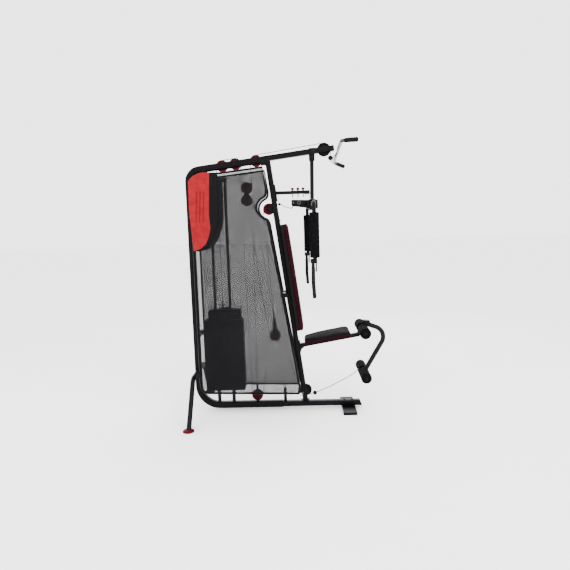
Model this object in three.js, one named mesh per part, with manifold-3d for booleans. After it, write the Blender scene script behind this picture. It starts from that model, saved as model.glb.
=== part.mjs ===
// A multi station home gym: a bent steel C-frame with a leaning front upright, a weight stack between
// two mesh guards, a lat bar, a press arm with butterfly arms, a seat and a leg developer.
// Millimetres. +X points to the front of the gym, +Z is up, and the near side is -Y.

import * as THREE from 'three';
import { mergeVertices } from 'three/addons/utils/BufferGeometryUtils.js';
import Module from 'manifold-3d';

const wasm = await Module();
wasm.setup();

// ---------------------------------------------------------------- driving dimensions

const GAP = 0.3;

// Frame tubes
const TUBE = 50;
const FLAT_TUBE = 40;
const WALL = 2.5;
const REAR_X = -711;
const BASE_Z = 41;
const BASE_JOINT_X = -50;
const BASE_FRONT_X = 545;
const BOOM_JOINT_X = -130;
const BOOM_FRONT_X = 385;
const BOOM_RISE = 0.1175;
const BOOM_REFERENCE_X = -150;
const BOOM_REFERENCE_Z = 1928;
const UPRIGHT_FOOT_X = 124;
const UPRIGHT_FOOT_Z = 79;
const UPRIGHT_LEAN = 0.1276;

// Weight stack
const PLATE_COUNT = 8;
const LIFTED_PLATES = 3;
const STACK_BOTTOM_Z = 172;
const STACK_TOP_Z = 728;
const STACK_HEAD_Z = 808;
const STACK_REAR_X = -645;
const STACK_FRONT_X = -342;
const STACK_HALF_DEPTH = 55;
const ROD_XS = [-555, -440];
const SELECTOR_X = -497;
const ROD_RADIUS = 11.5;
const ROD_BORE = 9.5;
const ROD_TOP_Z = 1797;
const BUMPER_RADIUS = 14.5;

// Pulleys and cables
const PULLEY_RADIUS = 44;
const LAT_PULLEY_RADIUS = 50;
const GROOVE_DEPTH = 6;
const PULLEY_WIDTH = 22;
const AXLE_RADIUS = 5;
const CABLE_RADIUS = 2.5;
const CABLE_LIFT = 1.6;

// Feet and guards
const FOOT_Y = 431;
const GUARD_Y = 120;
const GUARD_BORDER = 16;
const GUARD_BORDER_WALL = 2;
const GUARD_SHEET = 1;
const GUARD_LEAN = 0.1606;
const BAY = [-118, 1568];
const BAY_RADIUS = 72;
const BAY_START = -1.8;
const BAY_END = -4.3;
const LEG_TUBE_RADIUS = 18;
const LEG_TUBE_BORE = 15.5;

// Seat, pads and arms
const SEAT_REAR_X = 124;
const SEAT_LENGTH = 373;
const SEAT_THICKNESS = 50;
const SEAT_SLOPE = 0.1695;
const SEAT_FLANGE_Z = 502;
const BACKREST_WIDTH = 260;
const BACKREST_LENGTH = 826;
const BACKREST_THICKNESS = 64;
const BACKREST_Z = 1039;
const PRESS_PIVOT = [219, 1930];
const ARM_PIVOT = [214, 80];
const LEG_PIVOT = [579, 626];
const LOWER_ROLLER = [582, 287];
const ROLLER_END_Y = 200;
const BAR_RADIUS = 12.5;
const UPPER_ROLLER_RADIUS = 42;
const LOWER_ROLLER_RADIUS = 40;
const ARM_OUT_Y = -440;
const ARM_TURN_NEAR = -0.6;
const ARM_TURN_FAR = -5.5;
const ARM_PAD_RADIUS = 32;
const ARM_PAD_BOTTOM_Z = 1213;
const ARM_PAD_TOP_Z = 1518;

// Brace, knobs and lat bar
const BRACE_Z = 1680;
const KNOB_XS = [68, 109, 148];
const LAT_BAR_X = 409;
const LAT_BAR_Z = 1961;
const LAT_BAR_TILT = 3.4;

// ---------------------------------------------------------------- colours

function material(color, roughness, metalness) {
  return new THREE.MeshStandardMaterial({ color, roughness, metalness });
}

const blackPaint = material(0x16151b, 0.3, 0.1);
const greyPaint = material(0x2b2c2f, 0.4, 0.2);
const redPlastic = material(0xa3202c, 0.4, 0);
const blackPlastic = material(0x141316, 0.5, 0);
const chrome = material(0xc8c8cc, 0.12, 1);
const darkSteel = material(0x2a2a2e, 0.35, 0.8);
const plateVinyl = material(0x1d1a22, 0.45, 0);
const blackVinyl = material(0x2b282c, 0.55, 0);
const foam = material(0x1b1a1c, 0.9, 0);
const cableSheath = material(0x18181b, 0.4, 0);
const meshGrey = material(0x6d6c70, 0.6, 0.2);

// ---------------------------------------------------------------- solids

function toSolid(geometry) {
  geometry.deleteAttribute('normal');
  geometry.deleteAttribute('uv');
  const merged = mergeVertices(geometry, 1e-3);
  return new wasm.Manifold(new wasm.Mesh({
    numProp: 3,
    vertProperties: new Float32Array(merged.attributes.position.array),
    triVerts: new Uint32Array(merged.index.array),
  }));
}

function join(first, ...others) {
  return others.reduce((sum, solid) => sum.add(solid), first);
}

function cut(body, ...tools) {
  return tools.reduce((rest, tool) => rest.subtract(tool), body);
}

function box(x, y, z) {
  const geometry = new THREE.BoxGeometry(x[1] - x[0], y[1] - y[0], z[1] - z[0]);
  geometry.translate((x[0] + x[1]) / 2, (y[0] + y[1]) / 2, (z[0] + z[1]) / 2);
  return toSolid(geometry);
}

function cylinder(from, to, radius, sides = 16) {
  const start = new THREE.Vector3(...from);
  const along = new THREE.Vector3(...to).sub(start);
  const geometry = new THREE.CylinderGeometry(radius, radius, along.length(), sides);
  geometry.translate(0, along.length() / 2, 0);
  const up = new THREE.Vector3(0, 1, 0);
  geometry.applyQuaternion(new THREE.Quaternion().setFromUnitVectors(up, along.normalize()));
  geometry.translate(start.x, start.y, start.z);
  return toSolid(geometry);
}

// A cylinder across the gym at [x, z], between two Y values.
function crossBar([x, z], [y0, y1], radius, sides = 16) {
  return cylinder([x, y0, z], [x, y1, z], radius, sides);
}

function sleeve(centre, y, radius, bore, sides = 20) {
  const open = [y[0] - 1, y[1] + 1];
  return cut(crossBar(centre, y, radius, sides), crossBar(centre, open, bore, sides));
}

// A flat plate standing in the XZ plane, from outline points [x, z], between two Y values.
function plate(outline, y) {
  const shape = new THREE.Shape(outline.map(([x, z]) => new THREE.Vector2(x, z)));
  return slab(shape, y);
}

function slab(shape, y) {
  const geometry = new THREE.ExtrudeGeometry(shape, { depth: y[1] - y[0], bevelEnabled: false });
  geometry.rotateX(Math.PI / 2);
  geometry.translate(0, y[1], 0);
  return toSolid(geometry);
}

function twinPlates(outline, inner, outer) {
  return join(plate(outline, [-outer, -inner]), plate(outline, [inner, outer]));
}

// Turns a solid about a line across the gym; a positive angle leans +Z towards -X.
function lean(solid, [x, z], degrees) {
  return solid.translate([-x, 0, -z]).rotate([0, -degrees, 0]).translate([x, 0, z]);
}

// ---------------------------------------------------------------- tubes along a path

function roundOutline(radius, sides) {
  const points = [];
  for (let i = 0; i < sides; i += 1) {
    const angle = (2 * Math.PI * i) / sides;
    points.push(new THREE.Vector2(radius * Math.cos(angle), radius * Math.sin(angle)));
  }
  return points;
}

function rectOutline(width, height, corner = 0) {
  const points = [];
  const quarter = corner > 0 ? [0, 45, 90] : [0];
  const centres = [[1, 1, 0], [-1, 1, 90], [-1, -1, 180], [1, -1, 270]];
  for (const [sx, sy, start] of centres) {
    for (const step of quarter) {
      const angle = THREE.MathUtils.degToRad(start + step);
      const x = sx * (width / 2 - corner) + corner * Math.cos(angle);
      const y = sy * (height / 2 - corner) + corner * Math.sin(angle);
      points.push(new THREE.Vector2(x, y));
    }
  }
  return points;
}

// A path made of straight runs and round bends. side is the direction the section's first axis keeps.
class BentPath extends THREE.Curve {
  constructor(stations, side) {
    super();
    this.stations = stations;
    this.side = new THREE.Vector3(...side);
    this.steps = stations.length - 1;
  }

  getPoint(t) {
    return this.stations[Math.round(t * this.steps)].point.clone();
  }

  getSpacedPoints() {
    return this.stations.map((station) => station.point.clone());
  }

  computeFrenetFrames() {
    const tangents = this.stations.map((station) => station.tangent.clone());
    const normals = tangents.map((tangent) => {
      const across = this.side.clone().addScaledVector(tangent, -this.side.dot(tangent));
      return across.normalize();
    });
    const binormals = tangents.map((tangent, i) => tangent.clone().cross(normals[i]));
    return { tangents, normals, binormals };
  }
}

function bentStations(corners, bends, stepAngle = 20) {
  const points = corners.map((corner) => new THREE.Vector3(...corner));
  const directions = points.slice(1).map((point, i) => point.clone().sub(points[i]).normalize());
  const stations = [{ point: points[0], tangent: directions[0] }];
  for (let i = 1; i < points.length - 1; i += 1) {
    const radius = Array.isArray(bends) ? bends[i - 1] : bends;
    const turn = directions[i - 1].angleTo(directions[i]);
    const axis = directions[i - 1].clone().cross(directions[i]).normalize();
    const start = points[i].clone().addScaledVector(directions[i - 1], -radius * Math.tan(turn / 2));
    const centre = start.clone().addScaledVector(axis.clone().cross(directions[i - 1]), radius);
    const steps = Math.max(1, Math.ceil(THREE.MathUtils.radToDeg(turn) / stepAngle));
    for (let k = 0; k <= steps; k += 1) {
      const angle = (turn * k) / steps;
      const point = start.clone().sub(centre).applyAxisAngle(axis, angle).add(centre);
      stations.push({ point, tangent: directions[i - 1].clone().applyAxisAngle(axis, angle) });
    }
  }
  stations.push({ point: points[points.length - 1], tangent: directions[directions.length - 1] });
  return stations;
}

function sweep(outline, stations, side, hole) {
  const shape = new THREE.Shape(outline);
  if (hole) {
    shape.holes.push(new THREE.Path(hole));
  }
  const extrudePath = new BentPath(stations, side);
  return toSolid(new THREE.ExtrudeGeometry(shape, { steps: extrudePath.steps, extrudePath }));
}

function roundTube(corners, bends, radius, side, sides = 12) {
  return sweep(roundOutline(radius, sides), bentStations(corners, bends), side);
}

function inPlane(points, y = 0) {
  return points.map(([x, z]) => [x, y, z]);
}

// ---------------------------------------------------------------- cables round pulleys

// A route is a list of stops [x, z, radius, turn]: turn is 1 where the cable goes round the stop
// anticlockwise seen from the near side, -1 clockwise, and radius 0 for a plain point.
function tangentDirection([x0, z0, r0 = 0, turn0 = 1], [x1, z1, r1 = 0, turn1 = 1]) {
  const offset = turn1 * r1 - turn0 * r0;
  return Math.atan2(z1 - z0, x1 - x0) - Math.asin(offset / Math.hypot(x1 - x0, z1 - z0));
}

function cableStations(route, stepAngle = 30) {
  const stations = [];
  const legs = route.slice(1).map((stop, i) => tangentDirection(route[i], stop));
  route.forEach(([x, z, radius = 0, turn = 1], i) => {
    const arrive = legs[Math.max(0, i - 1)];
    const leave = legs[Math.min(i, legs.length - 1)];
    const full = 2 * Math.PI;
    const halfTurn = Math.asin(Math.sin(leave - arrive)) / 2;
    const sweepAngle = turn * ((((leave - arrive) * turn) % full + full) % full);
    const angle = radius > 0 ? sweepAngle : 0;
    const degrees = Math.abs(THREE.MathUtils.radToDeg(angle));
    const steps = radius > 0 ? Math.max(1, Math.ceil(degrees / stepAngle)) : 0;
    for (let k = 0; k <= steps; k += 1) {
      const heading = radius > 0 ? arrive + (angle * k) / steps : arrive + halfTurn;
      const point = new THREE.Vector3(
        x + turn * radius * Math.sin(heading),
        0,
        z - turn * radius * Math.cos(heading),
      );
      const tangent = new THREE.Vector3(Math.cos(heading), 0, Math.sin(heading));
      stations.push({ point, tangent });
    }
  });
  return stations;
}

function cable(stations, side = [0, 1, 0], radius = CABLE_RADIUS) {
  return sweep(roundOutline(radius, 8), stations, side);
}

// ---------------------------------------------------------------- places worked out from the frame

function boomMiddle(x) {
  return BOOM_REFERENCE_Z + BOOM_RISE * (x - BOOM_REFERENCE_X);
}

function boomTop(x) {
  return boomMiddle(x) + TUBE / 2;
}

function uprightMiddle(z) {
  return UPRIGHT_FOOT_X - UPRIGHT_LEAN * (z - UPRIGHT_FOOT_Z);
}

const LEAN_DEGREES = THREE.MathUtils.radToDeg(Math.atan(UPRIGHT_LEAN));

// The X of the upright's front face at height z, a gap clear of it.
function uprightFront(z) {
  return uprightMiddle(z) + FLAT_TUBE / 2 / Math.cos(Math.atan(UPRIGHT_LEAN)) + GAP;
}

const cableRadius = PULLEY_RADIUS - GROOVE_DEPTH + CABLE_RADIUS + CABLE_LIFT;
const latCableRadius = LAT_PULLEY_RADIUS - GROOVE_DEPTH + CABLE_RADIUS + CABLE_LIFT;

const pulleyPlaces = {
  boom_pulley_rear: [SELECTOR_X + cableRadius, boomMiddle(SELECTOR_X + cableRadius)],
  boom_pulley_middle: [-354, boomMiddle(-354)],
  boom_pulley_front: [-199, boomMiddle(-199)],
  lat_pulley: [310, boomTop(310) - FLAT_TUBE / 2],
  block_pulley_upper: [-277, 1725],
  block_pulley_lower: [-279, 1633],
  floating_pulley: [-97, 590],
  base_pulley: [-252, 116],
  notch_pulley: [-114, 1561],
  low_pulley: [132, 149],
};

// ---------------------------------------------------------------- the gym

const gym = new THREE.Group();

function addPart(name, solid, look) {
  const mesh = solid.getMesh();
  const geometry = new THREE.BufferGeometry();
  geometry.setAttribute('position', new THREE.BufferAttribute(new Float32Array(mesh.vertProperties), 3));
  geometry.setIndex(new THREE.BufferAttribute(new Uint32Array(mesh.triVerts), 1));
  const part = new THREE.Mesh(geometry, look);
  part.name = name;
  gym.add(part);
}

// A slot through the top and bottom walls of a boom tube, and the axle that crosses it.
function pulleySlot([x, z], radius) {
  const reach = radius + 7;
  return box([x - reach, x + reach], [-14, 14], [z - radius, z + radius]);
}

function pulleyAxle(place) {
  return crossBar(place, [-TUBE / 2 + 1, TUBE / 2 - 1], AXLE_RADIUS, 12);
}

function rearFrame() {
  const corners = inPlane([
    [BASE_JOINT_X - GAP, BASE_Z],
    [REAR_X, BASE_Z],
    [REAR_X, boomMiddle(REAR_X)],
    [BOOM_JOINT_X - GAP, boomMiddle(BOOM_JOINT_X - GAP)],
  ]);
  const outer = rectOutline(TUBE, TUBE, 8);
  const inner = rectOutline(TUBE - 2 * WALL, TUBE - 2 * WALL);
  const tube = sweep(outer, bentStations(corners, [165, 90]), [0, 1, 0], inner);
  const boomPulleys = ['boom_pulley_rear', 'boom_pulley_middle', 'boom_pulley_front'];
  const slots = boomPulleys.map((name) => pulleySlot(pulleyPlaces[name], PULLEY_RADIUS));
  const axles = boomPulleys.map((name) => pulleyAxle(pulleyPlaces[name]));
  const legHole = crossBar([REAR_X, 322], [-40, 40], 18.5, 16);
  return join(cut(tube, ...slots, legHole), ...axles, rodHanger(), basePulleyFork());
}

// The plate that holds the tops of the guide rods, hung from the boom by two straps.
function rodHanger() {
  const top = box([-602, -414], [-30, 30], [ROD_TOP_Z + GAP, ROD_TOP_Z + 6]);
  const hole = cylinder([SELECTOR_X, 0, 1700], [SELECTOR_X, 0, 1850], 12, 12);
  const strap = [[-602, ROD_TOP_Z + 2], [-574, ROD_TOP_Z + 2], [-574, 1872], [-602, 1872]];
  return join(cut(top, hole), twinPlates(strap, 24, 29));
}

function basePulleyFork() {
  const place = pulleyPlaces.base_pulley;
  const outline = [[-261, 62], [-243, 62], [-245, 205], [-259, 205]];
  const cheeks = twinPlates(outline, 13, 17);
  const axle = crossBar(place, [-17, 17], AXLE_RADIUS, 12);
  const anchor = crossBar([place[0], 192], [-17, 17], 4, 10);
  return join(cheeks, axle, anchor);
}

function baseTube() {
  const half = FLAT_TUBE / 2;
  const outer = box([BASE_JOINT_X, BASE_FRONT_X], [-25, 25], [BASE_Z - half, BASE_Z + half]);
  const inner = box(
    [BASE_JOINT_X - 1, BASE_FRONT_X + 1],
    [WALL - 25, 25 - WALL],
    [BASE_Z - half + WALL, BASE_Z + half - WALL],
  );
  const post = box([-45, -21], [-12, 12], [BASE_Z + half - 1, 165]);
  const cordHole = crossBar([-33, 148], [-20, 20], 5, 8);
  return join(cut(outer, inner), cut(post, cordHole));
}

function boomTube() {
  const start = BOOM_JOINT_X + GAP;
  const corners = inPlane([
    [start, boomTop(start) - FLAT_TUBE / 2],
    [BOOM_FRONT_X, boomTop(BOOM_FRONT_X) - FLAT_TUBE / 2],
  ]);
  const outer = rectOutline(TUBE, FLAT_TUBE, 6);
  const inner = rectOutline(TUBE - 2 * WALL, FLAT_TUBE - 2 * WALL);
  const tube = sweep(outer, bentStations(corners, 0), [0, 1, 0], inner);
  const place = pulleyPlaces.lat_pulley;
  return join(cut(tube, pulleySlot(place, LAT_PULLEY_RADIUS)), pulleyAxle(place), pressBracket());
}

// Cheeks on both sides of the boom that carry the press arm's pivot pin under it.
function pressBracket() {
  const outline = [[198, 1998], [240, 2000], [240, 1912], [231, 1905], [207, 1905], [198, 1912]];
  return join(twinPlates(outline, 24, 29), crossBar(PRESS_PIVOT, [-29, 29], 6, 12));
}

function upright() {
  const foot = BASE_Z + FLAT_TUBE / 2 + GAP;
  const head = 1925;
  const corners = inPlane([[uprightMiddle(40), 40], [uprightMiddle(head), head]]);
  const outer = rectOutline(TUBE, FLAT_TUBE, 6);
  const inner = rectOutline(TUBE - 2 * WALL, FLAT_TUBE - 2 * WALL);
  const tube = sweep(outer, bentStations(corners, 0), [0, 1, 0], inner);
  const belowFoot = box([0, 250], [-60, 60], [0, foot]);
  const lowSlot = box([50, 180], [-13, 13], [98, 208]);
  const pressHole = box([-110, -30], [-9, 9], [1588, 1612]);
  const notchSlot = box([-110, -62], [-13, 13], [1508, 1614]);
  const gusset = [[-165, 1890], [-92, 1890], [-92, 1941], [-165, 1932]];
  const lowCheek = [[92, 126], [122, 118], [146, 124], [158, 142], [156, 162], [138, 178], [84, 184]];
  const notchCheek = [[-129, 1550], [-80, 1532], [-84, 1596], [-126, 1588]];
  const body = join(
    cut(tube, belowFoot, lowSlot, pressHole, notchSlot),
    twinPlates(gusset, 24, 29),
    twinPlates(lowCheek, 24, 28),
    twinPlates(notchCheek, 14, 18),
    twinPlates([[-100, 1540], [-75, 1540], [-75, 1585], [-100, 1585]], 14, 24),
    crossBar(pulleyPlaces.low_pulley, [-28, 28], AXLE_RADIUS, 12),
    crossBar(pulleyPlaces.notch_pulley, [-18, 18], AXLE_RADIUS, 12),
  );
  return cut(body, boomSpace());
}

// The room taken by both boom tubes, a gap larger all round, that the upright's head fits under.
function boomSpace() {
  const rearDepth = TUBE / 2 + GAP;
  const y = [-TUBE / 2 - GAP, TUBE / 2 + GAP];
  const rise = (x, drop) => [x, boomMiddle(x) + drop];
  const rear = [rise(-200, -rearDepth - 0.3), rise(-126, -rearDepth - 0.3), rise(-126, 60), rise(-200, 60)];
  const frontDrop = TUBE / 2 - FLAT_TUBE - 0.6;
  const front = [rise(-134, frontDrop), rise(0, frontDrop), rise(0, 60), rise(-134, 60)];
  return join(plate(rear, y), plate(front, y));
}

function rearStabiliser() {
  const corners = [[REAR_X, -445, -3], [REAR_X, -214, 322], [REAR_X, 214, 322], [REAR_X, 445, -3]];
  const radius = 18;
  const stations = bentStations(corners, 70);
  const tube = sweep(roundOutline(radius, 16), stations, [1, 0, 0], roundOutline(radius - WALL, 16));
  return cut(tube, box([-800, -600], [-600, 600], [-60, 18 + GAP]));
}

function rearFoot(side) {
  const y = side * FOOT_Y;
  const profile = [[8, 0], [41.5, 0], [41.5, 11], [30, 18], [8, 18], [8, 0]];
  const geometry = new THREE.LatheGeometry(profile.map(([r, h]) => new THREE.Vector2(r, h)), 18);
  geometry.rotateX(Math.PI / 2);
  geometry.translate(REAR_X - 3, y, 0);
  return toSolid(geometry);
}

// A folded steel tray that lies on the floor under the front of the base tube.
function frontFoot() {
  const top = BASE_Z - FLAT_TUBE / 2 - GAP;
  return cut(box([409, 512], [-180, 180], [0, top]), box([412, 509], [-177, 177], [-1, top - 3]));
}

// ---------------------------------------------------------------- guards

// The outline of a mesh guard, offset inwards by inset. The front edge follows the upright and has a
// round bay that leaves room for the notch pulley.
function guardShape(inset) {
  const rear = -683 + inset;
  const frontX = (z) => 0.5 - GUARD_LEAN * (z - 777) - inset;
  const bayRadius = BAY_RADIUS + inset;
  const bayPoint = (angle) => [
    BAY[0] + bayRadius * Math.cos(angle),
    BAY[1] + bayRadius * Math.sin(angle),
  ];
  const shape = new THREE.Shape();
  shape.moveTo(-610, 167 + inset);
  shape.lineTo(80, 150 + inset);
  shape.lineTo(frontX(205), 205);
  shape.lineTo(frontX(1420), 1420);
  shape.quadraticCurveTo(-107 - inset, 1470, ...bayPoint(BAY_START + 0.06));
  shape.absarc(...BAY, bayRadius, BAY_START, BAY_END, true);
  shape.quadraticCurveTo(-113 - inset, 1654, -117 - inset, 1700);
  shape.lineTo(-138 - inset, 1869 - inset);
  shape.lineTo(-600, 1822 - inset);
  shape.quadraticCurveTo(rear, 1812 - inset, rear, 1720);
  shape.lineTo(rear, 250);
  shape.quadraticCurveTo(rear, 167 + inset, -610, 167 + inset);
  return shape;
}

function outlineOf(shape) {
  const points = shape.getPoints(3);
  const last = points[points.length - 1];
  return last.distanceTo(points[0]) < 0.01 ? points.slice(0, -1) : points;
}

// A mesh guard: a border channel that is open inwards, the sheet in it, and pegs to the frame tubes.
function guard(side) {
  const half = GUARD_BORDER / 2;
  const y = (a, b) => [Math.min(side * a, side * b), Math.max(side * a, side * b)];
  const layer = (inset, depth) => (
    slab(new THREE.Shape(outlineOf(guardShape(inset))), y(GUARD_Y - depth, GUARD_Y + depth))
  );
  const channel = cut(
    layer(0, half),
    layer(GUARD_BORDER, half + 1),
    layer(GUARD_BORDER_WALL, half - GUARD_BORDER_WALL),
  );
  const pegEnd = GUARD_Y - half + GUARD_BORDER_WALL / 2;
  const pegs = [[-700, -668, 1500], [-700, -668, 600], [-46, 12, 900]].map(([x0, x1, z]) => (
    box([x0, x1], y(TUBE / 2 + GAP, pegEnd), [z, z + 30])
  ));
  return join(channel, layer(1, GUARD_SHEET / 2), ...pegs);
}

// ---------------------------------------------------------------- pulleys and their blocks

function pulley([x, z], radius) {
  const half = PULLEY_WIDTH / 2;
  const bore = AXLE_RADIUS + 2 * GAP;
  const floor = radius - GROOVE_DEPTH;
  const lip = CABLE_RADIUS + 1;
  const profile = [
    [bore, -half], [radius, -half], [floor, -lip], [floor, lip], [radius, half], [bore, half], [bore, -half],
  ];
  const geometry = new THREE.LatheGeometry(profile.map(([r, y]) => new THREE.Vector2(r, y)), 18);
  geometry.translate(x, 0, z);
  return toSolid(geometry);
}

function blockCheeks(outline, axles) {
  const cheeks = twinPlates(outline, 13, 17);
  return join(cheeks, ...axles.map(([x, z, r = AXLE_RADIUS]) => crossBar([x, z], [-17, 17], r, 12)));
}

function doubleBlock() {
  const { block_pulley_upper: upper, block_pulley_lower: lower } = pulleyPlaces;
  const outline = [[-292, 1612], [-264, 1612], [-260, 1680], [-262, 1746], [-294, 1746], [-296, 1680]];
  return blockCheeks(outline, [upper, lower]);
}

function floatingBlock() {
  const place = pulleyPlaces.floating_pulley;
  const outline = [[-110, 568], [-84, 568], [-84, 640], [-88, 728], [-112, 728], [-112, 640]];
  return blockCheeks(outline, [place, [-100, 716, 4]]);
}

// ---------------------------------------------------------------- weight stack

const plateHeight = (STACK_TOP_Z - STACK_BOTTOM_Z) / PLATE_COUNT;
const pinPlate = PLATE_COUNT - LIFTED_PLATES;
const pinZ = STACK_BOTTOM_Z + (pinPlate + 0.5) * plateHeight;

function rodHole(x, radius) {
  return cylinder([x, 0, STACK_BOTTOM_Z - 40], [x, 0, STACK_HEAD_Z + 40], radius, 8);
}

function stackPlate(index) {
  const z0 = STACK_BOTTOM_Z + index * plateHeight + (index > 0 ? GAP : 0);
  const z1 = STACK_BOTTOM_Z + (index + 1) * plateHeight;
  const bevel = 6;
  const outline = [
    [STACK_REAR_X + bevel, z0], [STACK_FRONT_X - bevel, z0],
    [STACK_FRONT_X, z0 + bevel], [STACK_FRONT_X, z1 - bevel],
    [STACK_FRONT_X - bevel, z1], [STACK_REAR_X + bevel, z1],
    [STACK_REAR_X, z1 - bevel], [STACK_REAR_X, z0 + bevel],
  ];
  const body = plate(outline, [-STACK_HALF_DEPTH, STACK_HALF_DEPTH]);
  const holes = [...ROD_XS.map((x) => rodHole(x, 13.5)), rodHole(SELECTOR_X, 11.5)];
  const pinHole = cylinder([SELECTOR_X, -80, (z0 + z1) / 2], [SELECTOR_X, 0, (z0 + z1) / 2], 5.5, 8);
  return cut(body, ...holes, pinHole);
}

function stackHead() {
  const outline = [
    [-607, STACK_TOP_Z + GAP], [-357, STACK_TOP_Z + GAP], [-357, 795],
    [-370, STACK_HEAD_Z], [-594, STACK_HEAD_Z], [-607, 795],
  ];
  const body = plate(outline, [-45, 45]);
  return cut(body, ...ROD_XS.map((x) => rodHole(x, 13.5)), rodHole(SELECTOR_X, 11.5));
}

function selectorRod() {
  const rod = cylinder([SELECTOR_X, 0, STACK_BOTTOM_Z + 12], [SELECTOR_X, 0, 850], 9, 12);
  const collar = cylinder([SELECTOR_X, 0, STACK_HEAD_Z + GAP], [SELECTOR_X, 0, STACK_HEAD_Z + 14], 15, 12);
  return cut(join(rod, collar), cylinder([SELECTOR_X, -20, pinZ], [SELECTOR_X, 20, pinZ], 5, 8));
}

function selectorPin() {
  const shank = cylinder([SELECTOR_X, -60, pinZ], [SELECTOR_X, 3, pinZ], 4.5, 10);
  const head = cylinder([SELECTOR_X, -67, pinZ], [SELECTOR_X, -STACK_HALF_DEPTH - 0.5, pinZ], 14, 16);
  return join(shank, head);
}

// A hollow guide rod with the rubber bumper that the stack rests on.
function guideRod(x) {
  const foot = BASE_Z + TUBE / 2 + 4;
  const rod = cylinder([x, 0, foot], [x, 0, ROD_TOP_Z], ROD_RADIUS, 12);
  const bumper = cylinder([x, 0, foot], [x, 0, STACK_BOTTOM_Z - GAP], BUMPER_RADIUS, 12);
  return cut(join(rod, bumper), cylinder([x, 0, foot - 1], [x, 0, ROD_TOP_Z + 1], ROD_BORE, 12));
}

// ---------------------------------------------------------------- seat and backrest

const seatDegrees = THREE.MathUtils.radToDeg(Math.atan(SEAT_SLOPE));

// The height of the seat's underside at x.
function seatBottom(x) {
  return 529 + SEAT_SLOPE * (x - 138);
}

function seat() {
  const length = SEAT_LENGTH;
  const rear = 95;
  const front = 140;
  const shape = new THREE.Shape();
  shape.moveTo(20, -rear);
  shape.quadraticCurveTo(120, -front, 190, -front);
  shape.lineTo(length - 35, -front);
  shape.quadraticCurveTo(length, -front, length, -front + 35);
  shape.lineTo(length, front - 35);
  shape.quadraticCurveTo(length, front, length - 35, front);
  shape.lineTo(190, front);
  shape.quadraticCurveTo(120, front, 20, rear);
  shape.quadraticCurveTo(0, rear, 0, rear - 20);
  shape.lineTo(0, -rear + 20);
  shape.quadraticCurveTo(0, -rear, 20, -rear);
  const outline = outlineOf(shape);
  const geometry = new THREE.ExtrudeGeometry(new THREE.Shape(outline), {
    depth: SEAT_THICKNESS,
    bevelEnabled: false,
  });
  const solid = toSolid(geometry).rotate([0, -seatDegrees, 0]);
  return solid.translate([SEAT_REAR_X, 0, seatBottom(SEAT_REAR_X) + GAP]);
}

function backrest() {
  const outline = rectOutline(BACKREST_LENGTH, BACKREST_WIDTH, 40);
  const geometry = new THREE.ExtrudeGeometry(new THREE.Shape(outline), {
    depth: BACKREST_THICKNESS,
    bevelEnabled: false,
  });
  const flat = toSolid(geometry).rotate([0, 90, 0]);
  const x = uprightFront(BACKREST_Z) + GAP;
  return flat.rotate([0, -LEAN_DEGREES, 0]).translate([x, 0, BACKREST_Z]);
}

function seatFrame() {
  const middle = (x) => seatBottom(x) - 16;
  const corners = inPlane([[93, middle(93)], [551, middle(551)]]);
  const tube = sweep(
    rectOutline(40, 30, 4),
    bentStations(corners, 0),
    [0, 1, 0],
    rectOutline(35, 25),
  );
  const flange = lean(box([0, 8], [-25, 25], [-42, 43]), [0, 0], LEAN_DEGREES)
    .translate([uprightFront(SEAT_FLANGE_Z), 0, SEAT_FLANGE_Z]);
  const gusset = plate([[96, 497], [96, 466], [150, 512]], [-3, 3]);
  const fork = twinPlates([[528, 568], [562, 576], [598, 606], [598, 640], [586, 648], [560, 646]], 19, 24);
  const bar = crossBar(LEG_PIVOT, [-ROLLER_END_Y + 4, ROLLER_END_Y - 4], BAR_RADIUS, 16);
  return join(tube, flange, gusset, fork, bar);
}

// ---------------------------------------------------------------- leg developer and rollers

function legDeveloper() {
  const stations = bentStations(inPlane([[583, 674], [776, 602], [587, 281]]), 82, 15);
  const outer = roundOutline(LEG_TUBE_RADIUS, 14);
  const tube = sweep(outer, stations, [0, 1, 0], roundOutline(LEG_TUBE_BORE, 14));
  const hub = crossBar(LEG_PIVOT, [-17, 17], 21, 18);
  const web = plate([[562, 634], [598, 634], [618, 662], [618, 676], [575, 676]], [-5, 5]);
  const bar = crossBar(LOWER_ROLLER, [-ROLLER_END_Y + 4, ROLLER_END_Y - 4], BAR_RADIUS, 16);
  const eye = plate([[549, 290], [580, 280], [580, 296], [549, 306], [543, 298]], [-3, 3]);
  const bore = crossBar(LEG_PIVOT, [-30, 30], BAR_RADIUS + GAP, 16);
  return cut(join(tube, hub, web, bar, eye), bore);
}

function roller(place, side, inner, radius) {
  const y = side < 0 ? [-ROLLER_END_Y, -inner] : [inner, ROLLER_END_Y];
  return sleeve(place, y, radius, BAR_RADIUS + GAP, 20);
}

// ---------------------------------------------------------------- press arm and butterfly arms

function pressArm() {
  const eye = sleeve(PRESS_PIVOT, [-22, 22], 17, 6 + GAP, 16);
  const tube = cut(
    cylinder([219, 0, 1930], [214, 0, 1615], 15, 16),
    crossBar(PRESS_PIVOT, [-30, 30], 10, 16),
  );
  const head = cut(
    box([172, 256], [-52, 52], [1556, 1622]),
    box([177, 251], [-47, 47], [1550, 1617]),
  );
  const topWing = box([190, 238], [-104, 104], [1611, 1622]);
  const bottomWing = box([190, 238], [-104, 104], [1546, 1557]);
  const lever = plate([[57, 1592], [62, 1579], [176, 1562], [176, 1622], [58, 1626]], [-15, 15]);
  const pins = [-1, 1].map((side) => {
    const y = side * ARM_PIVOT[1];
    return cylinder([ARM_PIVOT[0], y, 1550], [ARM_PIVOT[0], y, 1618], 9, 12);
  });
  return join(eye, tube, head, topWing, bottomWing, lever, ...pins);
}

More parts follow.
